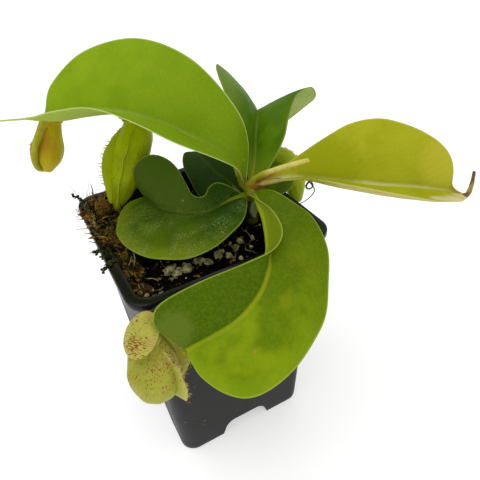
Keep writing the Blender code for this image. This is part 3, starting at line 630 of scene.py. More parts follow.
LEAF_FINISH = {
    "leaf_upper_left": ("leaf_green", dict(
        face=(0.255, 0.385, 0.006), shade=(0.215, 0.345, 0.003), rib=(0.36, 0.47, 0.08),
        # The darker foot, towards the stem, is painted shade on the side away from the light.
        edge=(0.56, 0.64, 0.22), under=(0.36, 0.46, 0.045), foot=(0.15, 0.26, 0.005),
        foot_reach=(12, 80), rib_half=1.5, rib_shows=(0.1, 0.65),
        spots=(((26.0, -1.6, 140.1), 0.5, (0.5, 0.45, 0.15)),
               ((24.0, 1.5, 143.0), 0.4, (0.45, 0.45, 0.15))))),
    "leaf_back": ("leaf_green", dict(
        face=(0.096, 0.195, 0.001), shade=(0.062, 0.138, 0.001), rib=(0.18, 0.28, 0.03),
        edge=(0.26, 0.36, 0.07), under=(0.42, 0.51, 0.14), foot=(0.16, 0.24, 0.01),
        # The lighter left half (lobe) is painted light: a pale sheen towards that margin.
        lobe=(0.14, 0.225, 0.028), lobe_reach=(-6, -22), rib_shows=(0.6, 0.5))),
    "leaf_right": ("leaf_yellow", dict(
        face=(0.39, 0.40, 0.014), shade=(0.34, 0.36, 0.006), rib=(0.60, 0.58, 0.22),
        edge=(0.60, 0.55, 0.18), under=(0.55, 0.48, 0.15), foot=(0.38, 0.13, 0.02), foot_reach=(4, 15),
        rib_shows=(0.9, 0.6),
        spots=(((50.0, -31.0, 142.0), 20.0, (0.285, 0.32, 0.002)),
               ((94.0, -53.0, 141.0), 16.0, (0.47, 0.445, 0.03)),
               ((81.0, -65.5, 133.0), 7.0, (0.70, 0.62, 0.32)),
               ((89.0, -66.5, 130.8), 7.5, (0.70, 0.62, 0.32)),
               ((96.5, -64.0, 128.0), 7.0, (0.66, 0.55, 0.24))))),
    "leaf_front": ("leaf_green", dict(
        face=(0.225, 0.315, 0.003), shade=(0.115, 0.19, 0.001), rib=(0.30, 0.36, 0.01),
        # The dark foot near the stem and the dark inner lobe (lobe) are painted shade from the leaves above.
        edge=(0.34, 0.42, 0.05), under=(0.165, 0.22, 0.006), foot=(0.065, 0.115, 0.001),
        foot_reach=(20, 84), lobe=(0.058, 0.115, 0.001), lobe_reach=(-0.8, 1.2), rib_half=0.8,
        rib_shows=(0.85, 0.6), glow=(0.22, 0.33, 0.006),
        spots=(((4.2, -69.0, 120.7), 3.4, (0.19, 0.235, 0.004)),
               ((7.5, -66.5, 121.0), 2.4, (0.17, 0.22, 0.004)),
               ((-13.6, -77.5, 113.0), 0.9, (0.42, 0.20, 0.03)),
               # The last spot is a painted greyish sheen on the dark inner lobe.
               ((-35.0, -62.4, 121.8), 9.0, (0.12, 0.17, 0.016))))),
    "leaf_low_left": ("leaf_dark", dict(
        face=(0.074, 0.128, 0.001), shade=(0.038, 0.088, 0.001), rib=(0.10, 0.15, 0.02),
        # The dark foot, near the stem, is painted shade under the upper left leaf.
        edge=(0.26, 0.33, 0.04), under=(0.18, 0.24, 0.06), foot=(0.012, 0.054, 0.001),
        foot_reach=(8, 28), lobe=(0.072, 0.13, 0.010),
        glow=(0.19, 0.255, 0.003), dust=0.9, spots=(((-3.6, 3.7, 126.4), 0.8, (0.32, 0.30, 0.10)),))),
    "leaf_low_back": ("leaf_dark", dict(
        face=(0.028, 0.070, 0.001), shade=(0.018, 0.052, 0.001), rib=(0.06, 0.10, 0.01),
        edge=(0.14, 0.18, 0.04), under=(0.12, 0.18, 0.05))),
    "leaf_low_right": ("leaf_dark", dict(
        face=(0.095, 0.165, 0.005), shade=(0.06, 0.115, 0.003), rib=(0.14, 0.20, 0.03),
        edge=(0.20, 0.27, 0.05), under=(0.12, 0.18, 0.05))),
    "leaf_withered": ("leaf_withered", dict(
        face=(0.20, 0.27, 0.10), shade=(0.14, 0.19, 0.06), rib=(0.25, 0.28, 0.14), edge=(0.12, 0.08, 0.03),
        under=(0.20, 0.22, 0.11), roughness=0.7)),
}

for number, (name, spec) in enumerate(LEAVES.items()):
    slot, finish = LEAF_FINISH[name]
    make_blade(name, spec, leaf_paint(name + "_wax", **finish), 10.0 + 7.0 * number)

# %% [markdown]
# ## Tendrils and the rolled leaf
# From each leaf's tip the midrib runs on as a tendril, a round cord that bends
# under the weight of its pitcher. Two end in a dry curl. The newest leaf is still
# rolled into a spear. All are tubes along listed curves.

# %% Where the cords run
CORDS = {
    "leaf_spear": (
        ((25.4, -8.2, 130.5), (26.2, -10.6, 134.6), (28.6, -17, 139.8), (34, -26, 145.6), (39, -32, 149)),
        1.6, 0.95),
    "tendril_upper_left": (
        ((-45.4, 64.4, 154.9), (-47.2, 64.4, 152.4), (-49.8, 64.8, 148.6), (-53.3, 65.6, 142.3),
         (-55.7, 66.9, 135), (-55.0, 69.8, 129.6), (-53.0, 71.6, 127.4)), 1.7, 1.5),
    "tendril_front": (
        ((-34.4, -66.0, 113.2), (-32.8, -63.8, 113.0), (-30.8, -60, 110.8), (-30.4, -54.6, 103.6),
         (-32.8, -52.4, 96), (-37.2, -54, 91.6), (-39.9, -56.4, 92.1)), 0.9, 1.1),
    "tendril_low_left": (
        ((-16, 28.4, 119.2), (-18, 28.6, 116.6), (-21.5, 29.2, 114.9), (-24.9, 30.9, 114.6)), 0.8, 1.0),
    "tendril_right": (
        ((99.6, -61.3, 126.0), (103.4, -60.5, 126.2), (107.3, -58.4, 127.8), (110.4, -56.2, 130),
         (111.8, -55, 131.6)), 1.25, 0.65),
    "tendril_back": (
        ((66.1, 55.8, 120.0), (68, 60, 113), (67, 65, 108), (63, 67, 106.5), (61.5, 64, 108.5)), 0.9, 0.5),
    "tendril_low_right": (
        ((49.0, -1.2, 130.8), (51.5, -2.5, 129.5), (55, -6.5, 125), (58.6, -9, 120),
         (60.4, -8.6, 116), (58.6, -7.6, 112.6), (56.6, -5, 109), (55.7, -1.9, 106.6)), 0.4, 0.2),
}
# The dry end of tendril_low_right
WITHERED_CURL = ((58.4, -8.6, 121.2), (56.0, -9.6, 122.8), (54.2, -10.2, 121.8), (55.0, -10.0, 119.8),
                 (57.6, -9.4, 118.8), (59.2, -8.8, 119.8), (57.8, -8.8, 122.2), (54.6, -9.8, 124.4))
CORD_STEPS = 60
SPEAR_FOOT = ((25.5, -10.0, 134.0), 14.0, (0.34, 0.34, 0.02))


def cord_paint(name, face, shade, dry=None, foot=None):
    paint = Paint(name, face, 0.45, 0.12)
    paint.tint(paint.patches(350.0, 3.0, 0.4, 0.66), shade)
    if dry:
        paint.tint(paint.patches(140.0, 2.0, 0.5, 0.62), dry)
    if foot:
        place, radius, overlay = foot
        paint.tint(paint.near(place, radius), overlay)
    return paint.finish(paint.noise(700.0, 3.0), 0.15, 0.6)


def cord_threads(name, points, start, end):
    """A cord as strands: most are one, a little uneven; the withered one has a curl of its own."""
    path = curve_through(points, CORD_STEPS)
    if name == "tendril_low_right":
        curled = curve_through(WITHERED_CURL, CORD_STEPS // 2)
        return [(path, taper(len(path), start, end)), (curled, taper(len(curled), 0.55, 0.25))]
    share = np.linspace(0.0, 1.0, CORD_STEPS + 1)
    return [(path, (start + (end - start) * share) * (1.0 + 0.05 * np.sin(share * 23.0)))]


cord_green = cord_paint("tendril_skin", (0.36, 0.38, 0.02), (0.34, 0.29, 0.015))
cord_dry = cord_paint("dried_tendril_skin", (0.22, 0.11, 0.03), (0.10, 0.045, 0.02), (0.30, 0.24, 0.06))
cord_brown = cord_paint("withered_tendril_skin", (0.10, 0.06, 0.02), (0.05, 0.03, 0.012))
spear_skin = cord_paint("spear_skin", (0.72, 0.62, 0.17), (0.60, 0.54, 0.10), foot=SPEAR_FOOT)
CORD_FINISH = {"leaf_spear": ("leaf_young", spear_skin), "tendril_right": ("tendril_dried", cord_dry),
               "tendril_low_right": ("tendril", cord_brown)}
for name, cord in CORDS.items():
    slot, skin_paint = CORD_FINISH.get(name, ("tendril", cord_green))
    sides = 12 if name == "tendril_low_right" else 16
    finished(tubes(cord_threads(name, *cord), sides), name + "_cord", skin_paint, name)

# %% [markdown]
# ## The pitchers
# A young pitcher is a closed pouch. Its axis bends from the tendril's hook up to
# the mouth, where a rolled rim meets the lid. Two thin wings run down its front
# and carry stiff hairs. The pouch is a skin laid round the axis, each wing a thin
# skin along it with its lower end in the pouch, and the hairs are tapered tubes.

# %% Where the pitchers hang
PITCHERS = {
    "pitcher_left": dict(
        axis=((-27.9, 32.5, 114.8), (-26, 33.2, 118.5), (-22.3, 35.6, 123.5), (-17.2, 40, 130),
              (-10.8, 44.9, 139), (-5.4, 49, 149)),
        widths=(1.8, 5.0, 7.4, 8.6, 9.0, 6.4), wing=(-0.88, -0.4, 0.25),
        wings=((-34, (1.0, 3.2, 4.6, 4.2, 2.2, 0.5)), (34, (0.3, 0.8, 1.1, 1.2, 1.1, 0.5))),
        lid=(0.1, 0.15, 0.98), oval=(9.0, 8.2), hinge=(1, 0.4, 0), hairs=(2.7, 2)),
    "pitcher_upper_left": dict(
        axis=((-52.2, 72, 126.6), (-50.6, 72, 129), (-47.2, 72, 137), (-43.6, 72, 145), (-41.2, 72, 149.4)),
        widths=(2.8, 6.5, 7.2, 5.4, 3.6), wing=(-0.9, -0.35, 0.2),
        wings=((-14, (0.6, 1.6, 1.8, 1.4, 0.6)), (14, (0.6, 1.6, 1.8, 1.4, 0.6))),
        lid=(0.25, 0.0, 0.97), oval=(4.4, 4.0), hinge=(1, 0.3, 0), hairs=(1.1, 2)),
    "pitcher_front": dict(
        axis=((-42.1, -57.9, 93.9), (-43.8, -60.6, 96.5), (-44.6, -61.6, 103), (-44.2, -59, 111.5),
              (-43.9, -56.2, 117.6)),
        widths=(2.4, 7.6, 9.2, 8.2, 5.4), wing=(0.82, -0.57, -0.1),
        wings=((-22, (5.5, 4.8, 3.4, 3.0, 1.4)), (26, (0.6, 1.8, 3.6, 2.6, 0.6))),
        lid=(-0.32, -0.3, 0.9), oval=(8.2, 6.0), hinge=(0.7, 0.71, 0), hairs=(2.0, 1)),
    "pitcher_right": dict(
        axis=((55.4, -0.8, 107.6), (56.2, 0.8, 110.4), (56.0, 4, 117.4), (52.6, 8.6, 126),
              (48.6, 12.4, 133)),
        widths=(2.2, 5.2, 6.0, 4.9, 3.7), wing=(0.5, 0.62, 0.6),
        wings=((-20, (1.0, 2.0, 3.0, 3.4, 1.0)), (26, (1.0, 2.0, 3.0, 3.4, 1.0))),
        lid=(-0.25, 0.45, 0.86), oval=(4.8, 4.2), hinge=(-0.5, 0.85, 0), hairs=(1.5, 1)),
}
POUCH_ROWS = 70
POUCH_SIDES = 72
WING_ROWS = 64
WING_COLUMNS = 8
RIM_ROLL = ((0.5, 0.45), (0.9, 0.75), (1.25, 0.9), (1.55, 0.85), (1.8, 0.6), (2.0, 0.2))
RIM_TOP = 2.05
LID_RISE = 2.35
HAIR_STATIONS = ((0.0, 0.20), (0.35, 0.17), (0.7, 0.12), (1.0, 0.04))
HAIRY_REACH = 1.5
WING_THICK = 0.42
WING_THINS = 0.2
WING_CURL = 0.35
POUCH_RIBS = 0.012
POUCH_WAVES = 0.035
LID_KEEL = 0.5
LID_LUMPS = 0.16
LID_RIM = ((0.0, 0.62, 0), (0.02, 0.9, 0), (0.5, 1.0, 0), (1.3, 0.98, 0))
LID_DOME = ((0.34, 0.84), (0.52, 0.6), (0.62, 0.25), (0.64, 0.0))
print(len(PITCHERS), "pitchers are placed")


# %% Frames along a pitcher
def run_of_values(values, shares):
    """Smooth values at the given shares of a run, through a few given ones."""
    values = np.array(values, float)
    stations = np.linspace(0.0, 1.0, len(values))
    ends = curve_through(np.column_stack((stations, values, 0 * values)), 60)
    return np.interp(shares, ends[:, 0], ends[:, 1])


def pitcher_frame(spec, steps):
    """Centres, tangents and, at each, the way that the wings face and the way across."""
    path = curve_through(spec["axis"], steps)
    along = unit(np.gradient(path, axis=0))
    turned = np.clip((np.linspace(0.0, 1.0, steps + 1) - 0.5) / 0.45, 0.0, 1.0)[:, None]
    along = unit(along * (1.0 - turned) + unit(np.array(spec["lid"], float)) * turned)
    facing = np.array(spec["wing"], float)
    front = unit(facing - along * (along @ facing)[:, None])
    return path, along, front, np.cross(along, front)


print("a pitcher's frame has", len(pitcher_frame(PITCHERS["pitcher_left"], 10)[0]), "stations in ten steps")


# %% Pouch, wings and hairs
def spokes_round(first, second):
    """Angles all the way round, and the arms at each of them between two directions."""
    angles = np.linspace(0.0, 2 * math.pi, POUCH_SIDES + 1)
    return angles, np.cos(angles)[:, None] * first + np.sin(angles)[:, None] * second


def make_pouch(bm, spec, seed):
    path, along, front, across = pitcher_frame(spec, POUCH_ROWS)
    radii = run_of_values(spec["widths"], np.linspace(0.0, 1.0, POUCH_ROWS + 1))
    mouth = unit(np.array(spec["lid"], float))
    side = unit(np.cross(mouth, front[-1]))
    rings = [(path[0] - along[0] * 0.6, front[0], across[0], 0.0),
             (path[0] - along[0] * 0.3, front[0], across[0], radii[0] * 0.75),
             *zip(path, front, across, radii)]
    rolled = [(rise, radii[-1] + widen) for rise, widen in RIM_ROLL] + [(RIM_TOP, 0.0)]
    rings += [(path[-1] + mouth * rise, np.cross(side, mouth), side, size) for rise, size in rolled]
    centres, firsts, seconds, sizes = (np.array(values) for values in zip(*rings))
    angles, spokes = spokes_round(firsts[:, None, :], seconds[:, None, :])
    points = centres[:, None, :] + spokes * sizes[:, None, None]
    ribs = POUCH_RIBS * np.cos(angles * 10.0)[None, :] + POUCH_WAVES * waves(points, 7.0, seed)
    ribs[:, -1] = ribs[:, 0]
    hollow = (points - centres[:, None, :]) * ribs[:, :, None]
    points = points + hollow * smooth_share(np.arange(len(centres)), 0, 8)[:, None, None]
    grain = flat_map(angles * float(np.mean(radii)), run_along(centres))
    skin(bm, points, grain=grain, edge=np.zeros_like(grain))
    return path[-1] + mouth * LID_RISE, mouth


def make_wing(bm, spec, turn, reaches):
    """One wing as a thin closed sheet; returns its free edge as roots for the hairs."""
    shares = np.linspace(0.0, 1.0, WING_ROWS + 1)
    keep = slice(4, WING_ROWS - 2)
    path, along, front, across = (values[keep] for values in pitcher_frame(spec, WING_ROWS))
    radius, reach = (run_of_values(values, shares)[keep] for values in (spec["widths"], reaches))
    shares = shares[keep]
    out = math.cos(math.radians(turn)) * front + math.sin(math.radians(turn)) * across
    sideways = unit(np.cross(along, out))
    q = np.linspace(0.0, 1.0, WING_COLUMNS + 1)
    start = (radius * 0.7)[:, None]
    length = (radius + reach)[:, None] - start
    curl = WING_CURL * np.sin(shares * 21.0)[:, None] * q[None, :] ** 2
    middle = path[:, None, :] + out[:, None, :] * (start + length * q[None, :])[:, :, None]
    middle = middle + sideways[:, None, :] * curl[:, :, None]
    ends = np.minimum(np.arange(len(path)), np.arange(len(path))[::-1])
    thick = (WING_THICK - WING_THINS * q)[None, :, None] * sideways[:, None, :]
    thick = thick * np.clip(ends / 2.0 + 0.3, 0.0, 1.0)[:, None, None]
    there = middle + thick
    points = np.concatenate((there, (middle - thick)[:, ::-1], there[:, :1]), axis=1)
    wide = np.concatenate((q, q[::-1], q[:1]))
    sheet = bmesh.new()
    skin(sheet, points, grain=flat_map(wide * 5.0, shares * 40.0), edge=flat_map(wide, np.ones(len(path))))
    close_skin(sheet)
    bmesh.ops.holes_fill(sheet, edges=open_edges(sheet))
    bm.from_mesh(new_mesh(sheet, "wing"))
    return [tuple(map(Vector, root)) for root in zip(middle[:, -1], out, along, sideways)][1:-1]


def fringe(roots, draw, length):
    """Stiff tapered hairs that stand out from a wing's edge, a little uneven."""
    hairs = []
    for place, out, along, sideways in roots:
        lean = along * draw.uniform(-0.45, 0.45) + sideways * draw.uniform(-0.4, 0.4)
        heading = (out + lean).normalized()
        tall = length * draw.uniform(0.55, 1.1)
        bend = along * draw.uniform(-0.25, 0.25) * tall
        foot = place + along * draw.uniform(-0.4, 0.4) - out * 0.3
        hairs.append(([foot + heading * tall * t + bend * t * t for t, _ in HAIR_STATIONS],
                      [radius for _, radius in HAIR_STATIONS]))
    return tubes(hairs, 4)


print("each wing has", WING_ROWS, "rows")


# %% The lid
def make_lid(bm, spec, foot, mouth):
    """A domed oval lid with a low keel, closed on the rim."""
    hinge = np.array(spec["hinge"], float)
    hinge = unit(hinge - mouth * (mouth @ hinge))
    side = np.cross(mouth, hinge)
    length, width = spec["oval"]
    dome = [(rise * width, share, 0) for rise, share in LID_DOME]
    profile = curve_through([*LID_RIM, *dome], 34)
    rises = np.concatenate(([0.0], profile[:, 0]))
    shares = np.concatenate(([0.0], np.maximum(profile[:, 1], 0.0)))[:, None]
    shares[-1] = 0.0
    angles, spokes = spokes_round(hinge * length, side * width)
    keel = LID_KEEL * np.exp(-(np.sin(angles)[None, :] * shares * width / 1.1) ** 2)
    keel = keel * smooth_share(rises, 0.8, 2.4)[:, None] * (1.0 - shares ** 6)
    points = foot + spokes * shares[:, :, None] + mouth * (rises[:, None] + keel)[:, :, None]
    lumps = LID_LUMPS * waves(points, 3.2, 3.0) * smooth_share(rises, 0.6, 2.0)[:, None]
    lumps[:, -1] = lumps[:, 0]
    points = points + mouth * lumps[:, :, None]
    grain = np.stack(((spokes @ hinge)[None, :] * shares, (spokes @ side)[None, :] * shares), axis=2)
    skin(bm, points, grain=grain, edge=np.zeros_like(grain))


print("a lid has", POUCH_SIDES, "sides")

# %% [markdown]
# ## What a pitcher is finished with
# The pouches are yellow-green and waxy, with faint lengthwise nerves, and red
# comes through where they ripen: speckles on the front one's lid and shoulders,
# orange along the upper one's wing. A mark in the UV map tells the material which
# faces are a wing's and how far out they lie. The hairs are mottled, pale on
# three of the pitchers and darker on the front one.


# %% Pitcher finish
SPECKLE_RED = (0.24, 0.030, 0.024)
DOT_BLACK = (0.02, 0.02, 0.004)


def pitcher_paint(name, face, shade, flush, flush_heights, wing, flush_cover=(0.45, 0.65), speckle=0.0,
                  speckle_heights=(0.0, 1.0), streak=(1.0, 1.0), dots=0.0, blotch=None):
    paint = Paint(name, face, 0.45, 0.08)
    around, along = paint.uv("grain")
    reach, wing_mark = paint.uv("edge")
    paint.tint(paint.patches(90.0, 4.0, 0.32, 0.7), shade)
    paint.tint(paint.patches(650.0, 3.0, 0.4, 0.66), lighter(face, 1.25), 0.22)
    nerves = paint.step(paint.calc("SINE", paint.times(around, 1.5)), 0.9, 1.0)
    paint.tint(nerves, shade, 0.15)
    paint.tint(paint.times(paint.patches(110.0, 3.0, *flush_cover), paint.rise(*flush_heights)), flush, 0.75)
    paint.tint(wing_mark, paint.blend(paint.step(reach, 0.5, 1.0), face, wing))
    if speckle:
        drawn_out = paint.node("ShaderNodeCombineXYZ", {"X": paint.times(around, streak[0]),
                                                        "Y": paint.times(along, streak[1])})
        fibre = paint.noise(2.6, 2.0, drawn_out.outputs[0])
        dashes = paint.step(fibre, 0.54, 0.61)
        where = paint.times(paint.patches(260.0, 2.0, 0.34, 0.56), paint.rise(*speckle_heights))
        if blotch:
            overlay = paint.times(paint.near(blotch, 4.2), paint.step(fibre, 0.42, 0.56))
            where = paint.calc("MAXIMUM", where, paint.near(blotch, 7.0))
            dashes = paint.calc("MAXIMUM", dashes, overlay)
        paint.tint(paint.times(dashes, where), SPECKLE_RED, speckle)
    if dots:
        paint.tint(paint.step(paint.cells(240.0), 0.09, 0.05), DOT_BLACK, dots)
    return paint.finish(paint.plus(paint.noise(800.0, 3.0), paint.times(nerves, 0.5)), 0.16, 0.6)


def hair_paint(name, tone, mottle):
    paint = Paint(name, tone, 0.5, 0.1)
    paint.tint(paint.patches(600.0, 2.0, 0.42, 0.6), mottle)
    return paint.finish()


PITCHER_FINISH = {
    "pitcher_left": dict(
        # On the left pitcher the flush is a darker green towards the foot of the pouch.
        face=(0.42, 0.50, 0.002), shade=(0.30, 0.37, 0.001), flush=(0.16, 0.20, 0.001),
        flush_heights=(137, 116), flush_cover=(0.34, 0.62), wing=(0.44, 0.52, 0.015), dots=0.8),
    "pitcher_upper_left": dict(
        face=(0.46, 0.40, 0.006), shade=(0.44, 0.34, 0.005), flush=(0.52, 0.21, 0.02),
        flush_heights=(130, 146), flush_cover=(0.40, 0.60), wing=(0.72, 0.36, 0.07)),
    "pitcher_front": dict(
        face=(0.36, 0.365, 0.045), shade=(0.29, 0.30, 0.028), flush=(0.42, 0.22, 0.09),
        flush_heights=(108, 118), flush_cover=(0.52, 0.7), wing=(0.46, 0.46, 0.10), speckle=0.9,
        speckle_heights=(98, 110), streak=(1.0, 0.34)),
    "pitcher_right": dict(
        face=(0.33, 0.42, 0.005), shade=(0.22, 0.30, 0.003), flush=(0.30, 0.26, 0.02),
        flush_heights=(118, 134), wing=(0.48, 0.52, 0.06)),
}
FRONT_LID = dict(
    face=(0.47, 0.46, 0.085), shade=(0.40, 0.41, 0.06), flush=(0.46, 0.24, 0.10), flush_heights=(108, 118),
    flush_cover=(0.50, 0.66), wing=(0.46, 0.46, 0.10), speckle=0.9, speckle_heights=(90, 100),
    streak=(1.0, 0.3), blotch=(-48.5, -60.4, 120.8))
hair_pale = hair_paint("fringe_hair_pale", (0.40, 0.46, 0.08), (0.26, 0.26, 0.06))
hair_dark = hair_paint("fringe_hair_dark", (0.46, 0.36, 0.16), (0.09, 0.035, 0.02))

for number, (name, spec) in enumerate(PITCHERS.items()):
    draw = random.Random(40 + number)
    skin_paint = lid_paint = pitcher_paint(name + "_skin", **PITCHER_FINISH[name])
    hair_skin = hair_pale
    if name == "pitcher_front":
        lid_paint = pitcher_paint(name + "_lid_skin", **FRONT_LID)
        hair_skin = hair_dark
    slot = "pitcher_bronze" if name == "pitcher_upper_left" else "pitcher_green"
    pouch = bmesh.new()
    lid_foot, mouth = make_pouch(pouch, spec, 60.0 + number)
    close_skin(pouch)
    roots = []
    for turn, reaches in spec["wings"]:
        edge = make_wing(pouch, spec, turn, reaches)
        roots += edge if max(reaches) > HAIRY_REACH else []
    finished(pouch, name + "_pouch", skin_paint, name)
    hair_length, spacing = spec["hairs"]
    finished(fringe(roots[::spacing], draw, hair_length), name + "_fringe", hair_skin)
    lid = bmesh.new()
    make_lid(lid, spec, lid_foot, mouth)
    close_skin(lid)
    finished(lid, name + "_lid_dome", lid_paint, name + "_lid")

# %% [markdown]
# ## The pot
# The pot is thin black plastic, moulded in one piece: a square with round
# corners that widens upwards, a lip turned out round the top, and an arch
# between the feet on each side. One skin runs up the outside, over the lip, down
# the inside and across the floor. Channels are then cut across its underside,
# which leaves the four feet, and drain holes through the floor.

# %% Pot sizes
POT_TOP_HALF = 41.5
POT_BOTTOM_HALF = 35.5
POT_HEIGHT = 120.0
LIP_HALF = 45.0
LIP_DROP = 3.2
WALL = 1.3
CORNER_TOP = 6.5
CORNER_BOTTOM = 7.5
FLOOR_TOP = 12.5
NOTCH_WIDE = 30.0
NOTCH_TOP = 21.0
NOTCH_HEIGHT = 10.2
DRAIN_RADIUS = 3.6
DRAIN_SPREAD = 14.0
PER_CORNER = 12


def wall_half(z):
    return POT_BOTTOM_HALF + (POT_TOP_HALF - POT_BOTTOM_HALF) * z / POT_HEIGHT


def wall_corner(z):
    return CORNER_BOTTOM + (CORNER_TOP - CORNER_BOTTOM) * z / POT_HEIGHT


def square_ring(half, radius, z):
    """A rounded square's points, the last one on the first."""
    ring = []
    for quarter in range(4):
        centre_x = (half - radius) * (1 if quarter in (0, 3) else -1)
        centre_y = (half - radius) * (1 if quarter in (0, 1) else -1)
        for step in range(PER_CORNER + 1):
            angle = (quarter + step / PER_CORNER) * math.pi / 2
            ring.append((centre_x + radius * math.cos(angle), centre_y + radius * math.sin(angle), z))
    return ring + ring[:1]


print("the lip is", 2 * LIP_HALF, "mm wide")


# %% Turn up the pot
LIP_TURN = ((0.12, 8.9, 0.4), (0.4, 8.8, 0.1), (0.9, 8.5, 0.0))
LIP_INSIDE = ((1.2, 7.0, 0.15), (0.4, 6.4, 0.5), (0.0, 6.0, 1.4))


def pot_profile():
    """(half width, corner radius, height) from the middle of the underside to the middle of the floor."""
    lip_foot = POT_HEIGHT - LIP_DROP
    profile = [(0.01, 0.005, 0.0), (18.0, 5.0, 0.0), (34.4, 7.0, 0.0), (35.1, 7.3, 0.25), (35.5, 7.5, 1.0)]
    profile += [(wall_half(z), wall_corner(z), z) for z in np.linspace(4.0, lip_foot - 0.5, 16)]
    profile += [(POT_TOP_HALF + 0.1, 6.6, lip_foot), (LIP_HALF - 0.6, 8.6, lip_foot),
                (LIP_HALF - 0.15, 8.9, lip_foot + 0.15), (LIP_HALF, 9.0, lip_foot + 0.6),
                (LIP_HALF, 9.0, POT_HEIGHT - 0.9)]
    profile += [(LIP_HALF - inset, radius, POT_HEIGHT - drop) for inset, radius, drop in LIP_TURN]
    profile += [(POT_TOP_HALF - WALL + out, radius, POT_HEIGHT - drop) for out, radius, drop in LIP_INSIDE]
    profile += [(wall_half(z) - WALL, wall_corner(z) - 0.8, z) for z in (110.0, 75.0, 30.0, FLOOR_TOP)]
    return profile + [(14.0, 4.0, FLOOR_TOP), (0.01, 0.005, FLOOR_TOP)]


def loose_object(bm, name):
    bmesh.ops.recalc_face_normals(bm, faces=bm.faces[:])
    return placed(name, new_mesh(bm, name))


def cut(target, cutters):
    """Take each cutter away from the target, and keep the result as its mesh."""
    for cutter in cutters:
        step = target.modifiers.new("cut", "BOOLEAN")
        step.operation = "DIFFERENCE"
        step.object = cutter
        step.solver = "EXACT"
    depsgraph = bpy.context.evaluated_depsgraph_get()
    solved = bpy.data.meshes.new_from_object(target.evaluated_get(depsgraph))
    for used in (target, *cutters):
        bpy.data.objects.remove(used)
    return solved


def channel_cutter(turned):
    """A long block with a narrower, rounded top, to cut the arch between two feet."""
    bm = bmesh.new()
    bmesh.ops.create_cube(bm, size=2.0)
    for vert in bm.verts:
        half, z = (NOTCH_WIDE / 2, -3.0) if vert.co.z < 0 else (NOTCH_TOP / 2, NOTCH_HEIGHT)
        vert.co = (vert.co.x * half, vert.co.y * LIP_HALF, z)
    ridges = [edge for edge in bm.edges if all(vert.co.z > 0 for vert in edge.verts)
              and abs(edge.verts[0].co.x - edge.verts[1].co.x) < 1.0]
    bmesh.ops.bevel(bm, geom=ridges, offset=4.0, segments=6, profile=0.5, affect="EDGES", material=-1)
    if turned:
        bmesh.ops.rotate(bm, matrix=Matrix.Rotation(math.pi / 2, 3, "Z"), verts=bm.verts[:])
    return loose_object(bm, "channel")


def drain_cutter(x, y):
    bm = bmesh.new()
    bmesh.ops.create_cone(bm, cap_ends=True, segments=28, radius1=DRAIN_RADIUS, radius2=DRAIN_RADIUS,
                          depth=8.0, matrix=Matrix.Translation((x, y, FLOOR_TOP - 1.0)))
    return loose_object(bm, "drain")


def make_pot(material):
    bm = bmesh.new()
    skin(bm, np.array([square_ring(*row) for row in pot_profile()]))
    close_skin(bm, 0.02)
    shell = loose_object(bm, "pot_shell")
    drains = [(DRAIN_SPREAD * x, DRAIN_SPREAD * y) for x, y in ((0, 0), (1, 0), (-1, 0), (0, 1), (0, -1))]
    cutters = [channel_cutter(False), channel_cutter(True)] + [drain_cutter(*spot) for spot in drains]
    bm = bmesh.new()
    bm.from_mesh(cut(shell, cutters))
    finished(bm, "pot_shell", material, "pot", 32.0)


# %% [markdown]
# ## What the pot is finished with
# Recycled black plastic is a matt dark grey with a fine grain, a few scuffs and
# specks of dried peat and dust. Its lip is shinier than the walls, and painted
# darker: a painted reflection of the dark plant above it.

# %% Pot finish
LIP_REFLECTION_DARK = (0.006, 0.006, 0.005)
DUST = (0.24, 0.22, 0.18)


def pot_paint():
    paint = Paint("pot_plastic_black", (0.010, 0.0102, 0.010), 0.5, 0.17)
    on_lip = paint.rise(POT_HEIGHT - LIP_DROP - 0.3, POT_HEIGHT - LIP_DROP + 0.2)
    cloudy = paint.patches(38.0, 4.0, 0.35, 0.7)
    paint.tint(cloudy, (0.017, 0.0168, 0.0155))
    # The darker lip is a painted reflection of the dark plant that hangs over it.
    paint.tint(on_lip, LIP_REFLECTION_DARK)
    specks = paint.step(paint.cells(230.0), 0.13, 0.05)
    paint.tint(paint.times(specks, paint.patches(60.0, 2.0, 0.50, 0.62)), DUST, 0.6)
    dull = paint.plus(paint.times(cloudy, 0.12), 0.42)
    paint.roughness(paint.plus(dull, paint.times(on_lip, -0.26)))
    return paint.finish(paint.noise(1400.0, 3.0), 0.08, 0.5)


make_pot(pot_paint())

# %% [markdown]
# ## The growing medium
# The pot is filled to a finger's width below its rim with black peat, perlite
# and bits of bark. The block is one grid, rounded at the corners, whose edges are
# extruded down to the floor. What makes it read as peat is loose on top: crumbs,
# pale perlite, brown bark and fine roots, each a small lump or a thin tube.

# %% The top of the medium
FIT = 0.35
SOIL_EDGE = 110.0
SOIL_LUMPS = ((0.09, 3.0, 1.5), (0.28, 8.0, 1.05), (0.9, 5.0, 0.5))
SOIL_CELLS = 120
CROWN_RISE = 1.6
CROWN_SPREAD = 160.0
STEM_X = 25.0
STEM_Y = -8.0
STEM_FOOT = 92.0
STEM_TOP = 132.6
STEM_RADIUS = 2.5
MOSS_EDGE = POT_TOP_HALF - WALL - 1.6
MOSS_START = -30.0


def moss_reach(y):
    """How far the moss lies in from the left side of the pot at a distance along it."""
    share = min(1.0, max(0.0, (y - MOSS_START) / (MOSS_EDGE - MOSS_START)))
    return 5.5 + 15.5 * share ** 2 + 1.5 * math.sin(share * 30.0)


